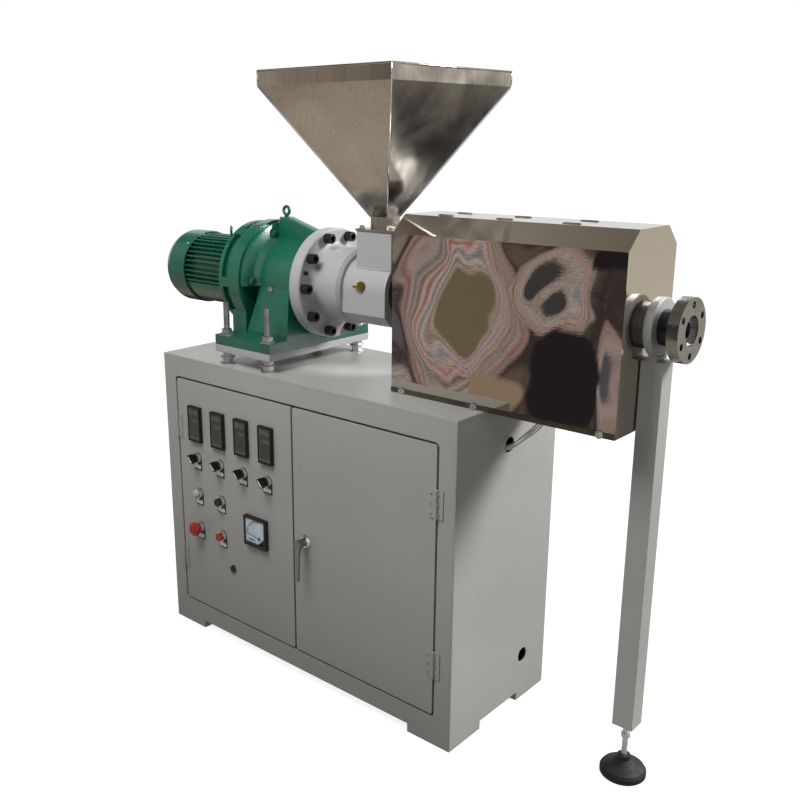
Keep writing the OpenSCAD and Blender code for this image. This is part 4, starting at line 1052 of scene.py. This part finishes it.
class EXTRUDER_OT_meter(bpy.types.Operator):
    """Draw the meter's scale and needle"""

    bl_idname = "extruder.meter"
    bl_label = "Meter"

    def execute(self, context):
        low, high = corners("meter_dial")
        half = (high.x - low.x) / 2
        centre = middle("meter_dial")
        pivot = Vector((centre.x + half * 0.42, 0, centre.z - half * 0.46))
        self.scale(low, half, pivot)
        self.needle(low.y, half, pivot)
        return {"FINISHED"}

    def scale(self, low, half, pivot):
        """Draws the ticks, the arc through them and a plain bar under them"""
        front, back = low.y - 0.0003, low.y + 0.0004
        ticks, first, step = 17, -5, -5
        end, arc_half = half * 1.33, half * 0.062
        parts = []
        for n in range(ticks):
            wide, deep = (0.00035, half * 0.11) if n % 4 else (0.0006, half * 0.20)
            tick = block((-wide, front, end - deep), (wide, back, end))
            tick.data.transform(turned_on(pivot, first + step * n))
            parts.append(tick)
            if n:
                arc = block((-arc_half, front, half * 1.325), (arc_half, back, half * 1.355))
                arc.data.transform(turned_on(pivot, first + step * (n - 0.5)))
                parts.append(arc)
        parts.append(block((low.x + half * 0.30, front, low.z + half * 0.16),
                           (low.x + half * 0.95, back, low.z + half * 0.24)))
        scale = soften(join(parts), 0.00008, None, 1)
        keep(scale, "meter_scale", "control_door", "black_moulding")

    def needle(self, face, half, pivot):
        """Sets the needle on its hub"""
        half_wide, front, back, hub_height, hub_sunk = 0.0004, face - 0.0016, face - 0.0009, 0.0022, 0.0002
        needle = block((-half_wide, front, -half * 0.18), (half_wide, back, half * 1.10))
        soften(needle, 0.0002, None, 1)
        needle.data.transform(turned_on(pivot, -78))
        hub = soften(disc(half * 0.10, hub_height, 20), 0.0006, level_rim(hub_height))
        hub.data.transform(standing(pivot + BACK * (face + hub_sunk), -BACK))
        parts = [coat(needle, "needle_dark"), coat(hub, "black_moulding")]
        keep(join(parts), "meter_needle", "control_door")


class EXTRUDER_OT_hinge_screws(bpy.types.Operator):
    """Set the slotted screws in the hinge leaves"""

    bl_idname = "extruder.hinge_screws"
    bl_label = "Hinge screws"

    def execute(self, context):
        low, high = corners("frame_hinges")
        leaf_half, leaf_wide, from_pin, spacing, leaf_proud = 0.033, 0.0215, 0.0105, 0.022, 0.0022
        heights = [middle_z + lift for middle_z in (low.z + leaf_half, high.z - leaf_half)
                   for lift in (-spacing, 0, spacing)]
        for door, edge, side in (("control_door", low.x, 1), ("plain_door", high.x, -1)):
            pin = edge + side * leaf_wide
            for owner, way in (("machine", -side), (door, side)):
                places = [Vector((pin + way * from_pin, FRONT - leaf_proud, z)) for z in heights]
                fixings(f"hinge_screws_{door}_{owner}", pan_head(sizes().hinge_screw, 0.6),
                        [standing(place, -BACK) for place in places], owner, "cabinet_paint")
        return {"FINISHED"}


class EXTRUDER_OT_lock(bpy.types.Operator):
    """Cut the keyway face of the door lock"""

    bl_idname = "extruder.lock"
    bl_label = "Door lock"

    def execute(self, context):
        low, high = corners("door_lock")
        radius = (high.x - low.x) / 2
        height, key_foot, key_top, sunk = 0.0016, 0.0006, 0.003, 0.0004
        key_half, key_reach = radius * 0.10, radius * 0.42
        face = soften(disc(radius * 0.62, height, 28), 0.0005, level_rim(height))
        face = cut(face, block((-key_half, -key_reach, key_foot), (key_half, key_reach, key_top)))
        face.data.transform(standing(front_of("door_lock") + BACK * sunk, -BACK))
        keep(face, "lock_plug", "control_door", "worn_lock")
        return {"FINISHED"}


# Stage


def plane(name, size, place):
    """Adds a flat sheet for the stage"""
    start()
    bpy.ops.mesh.primitive_plane_add(size=1, location=place)
    sheet = bpy.context.object
    sheet.scale = (*size, 1)
    sheet.name = name
    return sheet


# Name, place and size of each lamp
LAMPS = (("key", (2.6, 2.3, 2.9), 1.1),
         ("fill", (-1.6, -3.4, 2.6), 2.4),
         ("overhead", (-0.2, -1.1, 2.3), 0.9))
LAMP_AIM = Vector((0, 0, 0.75))

SHEET_CARD = (3.4, 1.9)
# Middle across and up on the card, radii across and up, looseness, reach of the stripes and inner colour
SHEET_LOOPS = ((-0.13, -0.33, 0.040, 0.115, 0.5, 2.2, (96, 92, 100)),
               (0.11, -0.25, 0.105, 0.165, 0.75, 2.2, (118, 106, 86)),
               (0.45, -0.19, 0.105, 0.095, 0.8, 1.75, (70, 67, 68)),
               (0.70, -0.50, 0.026, 0.115, 0.4, 2.2, (88, 84, 98)))
# The same without stripes
SHEET_HOLLOWS = ((0.25, -0.55, 0.100, 0.085, 0.7, (150, 132, 114)),
                 (0.30, 0.03, 0.080, 0.050, 0.6, (78, 26, 32)),
                 (0.50, -0.50, 0.170, 0.185, 0.9, (40, 37, 41)),
                 (0.67, -0.08, 0.120, 0.090, 0.9, (38, 35, 40)))
# Colours of the stripes, outwards from a loop's middle
SHEET_STRIPES = ((206, 190, 182), (88, 70, 68), (210, 196, 188), (74, 82, 112), (206, 190, 182),
                 (128, 60, 64), (200, 184, 176), (70, 62, 60), (186, 168, 158), (80, 84, 104),
                 (190, 172, 164), (110, 56, 58), (170, 154, 146), (62, 54, 54))


class EXTRUDER_OT_stage(bpy.types.Operator):
    """Set the floor, the lights, the reflection cards and the camera"""

    bl_idname = "extruder.stage"
    bl_label = "Studio"

    def execute(self, context):
        s = context.scene.extruder_stage
        self.floor()
        self.air(context, s)
        self.lamps(context, s)
        self.cards()
        self.camera(context, s)
        context.scene.view_settings.view_transform = "Standard"
        return {"FINISHED"}

    def floor(self):
        """Lays a matt floor that only the camera sees as white"""
        floor = plane("studio_floor", (30, 30), (0, 0, -0.0005))
        material = bpy.data.materials.new("studio_floor")
        look = Look(material)
        shader = look.nodes["Principled BSDF"]
        look.settle(shader, {"Base Color": (0.22, 0.22, 0.22, 1), "Roughness": 0.9, "Specular IOR Level": 0.1,
                             "Emission Color": (1, 1, 1, 1)})
        spot = look.node("NewGeometry").outputs["Position"]
        white = look.spread(look.reach(spot), 1.2, 5.0, 0.86, 0.96)
        seen = look.node("LightPath").outputs["Is Camera Ray"]
        look.links.new(look.sum(seen, white, "MULTIPLY"), shader.inputs["Emission Strength"])
        floor.data.materials.append(material)

    def air(self, context, s):
        """Fills the air with even light, white to the camera and its own strength to glossy faces"""
        world = bpy.data.worlds.new("studio_air")
        look = Look(world)
        rays = look.node("LightPath").outputs
        light = look.spread(rays["Is Camera Ray"], 0.0, 1.0, s.air, 1.0)
        gloss = look.node("Mix", {"B": s.gleam}, {"Factor": rays["Is Glossy Ray"], "A": light})
        air = look.nodes["Background"]
        look.settle(air, {"Color": (1, 1, 1, 1)})
        look.links.new(gloss.outputs["Result"], air.inputs["Strength"])
        context.scene.world = world

    def lamps(self, context, s):
        """Hangs the soft lamps, of which only the key light shows in glossy faces"""
        for kind, place, size in LAMPS:
            name = f"{kind}_light"
            lamp = bpy.data.lights.new(name, "AREA")
            lamp.energy = getattr(s, kind)
            lamp.size = size
            piece = bpy.data.objects.new(name, lamp)
            piece.visible_glossy = kind == "key"
            way = (LAMP_AIM - Vector(place)).to_track_quat("-Z", "Y")
            piece.matrix_world = Matrix.Translation(place) @ way.to_matrix().to_4x4()
            context.collection.objects.link(piece)

    def cards(self):
        """Stands the cards that the bright sheet and the steel mirror"""
        self.card("reflected_ground", (9, 9), (0, 0, 0.0004), UP, self.ground)
        self.card("reflected_ceiling", (6.0, 5.0), (-1.8, -1.0, 3.0), UP, self.ceiling)
        behind = Vector((0.643, 0.766, 0))
        self.card("reflected_wall", (9.0, 4.0), Vector((0.3, 0, 2.01)) + behind * 4, behind, self.wall)
        mirrored = Vector((0.285, 0.771, -0.569))
        hopper_spot = Vector((0.075, -0.06, 1.255))
        self.card("reflected_pane", (0.05, 0.075), hopper_spot + mirrored * 0.9, mirrored, self.pane)
        facing_guard = Vector((-0.667, -0.745, 0))
        guard_spot = Vector((0.36, -0.09, 0.955))
        self.card("reflected_sheets", SHEET_CARD, guard_spot + facing_guard * 1.55, facing_guard, self.sheets)

    def card(self, name, size, place, way, paint):
        """Stands a card that only reflections see"""
        card = plane(name, size, place)
        if way != UP:
            card.rotation_euler = way.to_track_quat("Z", "Y").to_euler()
        material = bpy.data.materials.new(name)
        look = Look(material)
        look.nodes.remove(look.nodes["Principled BSDF"])
        glow = look.node("Emission", None, {"Color": paint(look)})
        look.links.new(glow.outputs[0], look.nodes["Material Output"].inputs["Surface"])
        card.data.materials.append(material)
        card.visible_camera = card.visible_diffuse = card.visible_shadow = False
        card.visible_transmission = card.visible_volume_scatter = False

    def pane(self, look):
        """A small bright window"""
        return look.colour(look.part("X"), (0.0, (4.5, 4.5, 4.4)))

    def ground(self, look):
        """Dark behind the machine, warm at its front and left, pale far off"""
        back = look.spread(look.part("Y"), 0.010, 0.065)
        right = look.spread(look.part("X"), 0.10, 0.22)
        far = look.sum(look.spread(look.part("Y"), 0.32, 0.44), right, "MAXIMUM")
        near = look.mix(back, shade(182, 172, 160), shade(40, 36, 36))
        return look.mix(far, near, shade(200, 196, 187))

    def wall(self, look):
        """A warm wall behind on the right, dimmer towards its top"""
        return self.bands(look, "Y", ((0.07, (206, 200, 188)), (0.26, (196, 190, 178)),
                                      (0.36, (158, 151, 140)), (0.80, (120, 114, 106))))

    def ceiling(self, look):
        """A dim roof with two lighter bands"""
        return self.bands(look, "X", ((0.50, (84, 83, 77)), (0.624, (88, 87, 81)), (0.632, (134, 118, 104)),
                                      (0.646, (130, 114, 100)), (0.651, (76, 75, 71)), (0.662, (74, 73, 69)),
                                      (0.668, (152, 148, 138)), (0.69, (138, 134, 124)),
                                      (0.76, (122, 117, 106))))

    def bands(self, look, axis, stops):
        """Gives bands of colour across a card, from 0 at one edge to 1 at the other"""
        return look.colour(look.sum(look.part(axis), 0.5), *((place, shade(*tint)) for place, tint in stops))

    def sheets(self, look):
        """Striped sheeting bent into loops round brown and dark hollows, on warm grey"""
        wide, tall = SHEET_CARD
        place = look.mapped((wide, tall, 1))
        wobble = look.sum(look.noise(5.0, 0.6, place, 0.5), -0.5)
        fine = look.sum(look.noise(16.0, 2.0, place, 0.5), -0.5)

        def from_middle(x, y, across, up, loose):
            """Gives the reach from a loop's middle, in its own radii"""
            far = look.reach(look.mapped((wide / across, tall / up, 0), (-x / across, -y / up, 0)))
            bent = look.sum(look.sum(wobble, loose, "MULTIPLY"), look.sum(fine, loose * 0.10, "MULTIPLY"))
            return look.sum(far, bent)

        def stripes(value, centre):
            """Gives the bands of stripes outwards from a loop's middle"""
            first, step = 0.24, 0.021
            stops = [(0.0, centre), (first, centre)]
            stops += [(first + step * (n + 0.4), shade(*tint)) for n, tint in enumerate(SHEET_STRIPES)]
            return look.colour(look.sum(value, 0.25, "MULTIPLY"), *stops)

        def inside(value, edge):
            """Gives 1 within an edge and 0 outside it"""
            soft = 0.03
            return look.spread(value, edge - soft, edge + soft, 1.0, 0.0)

        seen = look.mix(look.spread(look.part("X"), -0.12, 0.06), shade(180, 169, 157), shade(64, 57, 56))
        seen = look.mix(look.spread(look.sum(fine, wobble), -0.05, 0.22, 0, 0.8), seen, shade(108, 92, 86))
        for *form, edge, tint in SHEET_LOOPS:
            value = from_middle(*form)
            seen = look.mix(inside(value, edge), seen, stripes(value, shade(*tint)))
        for *form, tint in SHEET_HOLLOWS:
            seen = look.mix(inside(from_middle(*form), 1.0), seen, shade(*tint))
        return seen

    def camera(self, context, s):
        """Stands the camera where the photograph was taken from"""
        turn, rise = s.azimuth, s.elevation
        back = Vector((sin(turn) * cos(rise), -cos(turn) * cos(rise), sin(rise)))
        right = (-back).cross(UP).normalized()
        above = back.cross(right)
        across = right * cos(s.roll) + above * sin(s.roll)
        over = above * cos(s.roll) - right * sin(s.roll)
        lens = bpy.data.cameras.new("photo_camera")
        lens.sensor_width = 36
        lens.lens = s.lens
        lens.shift_x, lens.shift_y = s.shift
        lens.clip_end = 100
        camera = bpy.data.objects.new("photo_camera", lens)
        aimed = Matrix((across, over, back)).transposed().to_4x4()
        camera.matrix_world = Matrix.Translation(HOME + Vector(s.camera_place)) @ aimed
        context.collection.objects.link(camera)
        context.scene.camera = camera


OPERATORS = (EXTRUDER_OT_finishes, EXTRUDER_OT_stage, EXTRUDER_OT_leads, EXTRUDER_OT_flange_screws,
             EXTRUDER_OT_drive_bolts, EXTRUDER_OT_throat_bolts, EXTRUDER_OT_feed_weld,
             EXTRUDER_OT_motor_screws, EXTRUDER_OT_hopper_seams, EXTRUDER_OT_guard_trim, EXTRUDER_OT_studs,
             EXTRUDER_OT_controllers, EXTRUDER_OT_control_marks, EXTRUDER_OT_meter,
             EXTRUDER_OT_hinge_screws, EXTRUDER_OT_lock)


class EXTRUDER_PT_pieces(bpy.types.Panel):
    """Lists the extruder's pieces in the sidebar"""

    bl_label = "Extruder"
    bl_idname = "EXTRUDER_PT_pieces"
    bl_space_type = "VIEW_3D"
    bl_region_type = "UI"
    bl_category = "Extruder"

    def draw(self, context):
        for operator in OPERATORS:
            self.layout.operator(operator.bl_idname)


CLASSES = (ExtruderSizes, ExtruderFinishes, ExtruderStage, *OPERATORS, EXTRUDER_PT_pieces)


def register():
    for item in CLASSES:
        bpy.utils.register_class(item)
    bpy.types.Scene.extruder_sizes = PointerProperty(type=ExtruderSizes)
    bpy.types.Scene.extruder_finishes = PointerProperty(type=ExtruderFinishes)
    bpy.types.Scene.extruder_stage = PointerProperty(type=ExtruderStage)


def unregister():
    del bpy.types.Scene.extruder_stage
    del bpy.types.Scene.extruder_finishes
    del bpy.types.Scene.extruder_sizes
    for item in reversed(CLASSES):
        bpy.utils.unregister_class(item)


def main():
    register()
    for operator in OPERATORS:
        group, name = operator.bl_idname.split(".")
        getattr(getattr(bpy.ops, group), name)()


if __name__ == "__main__":
    main()
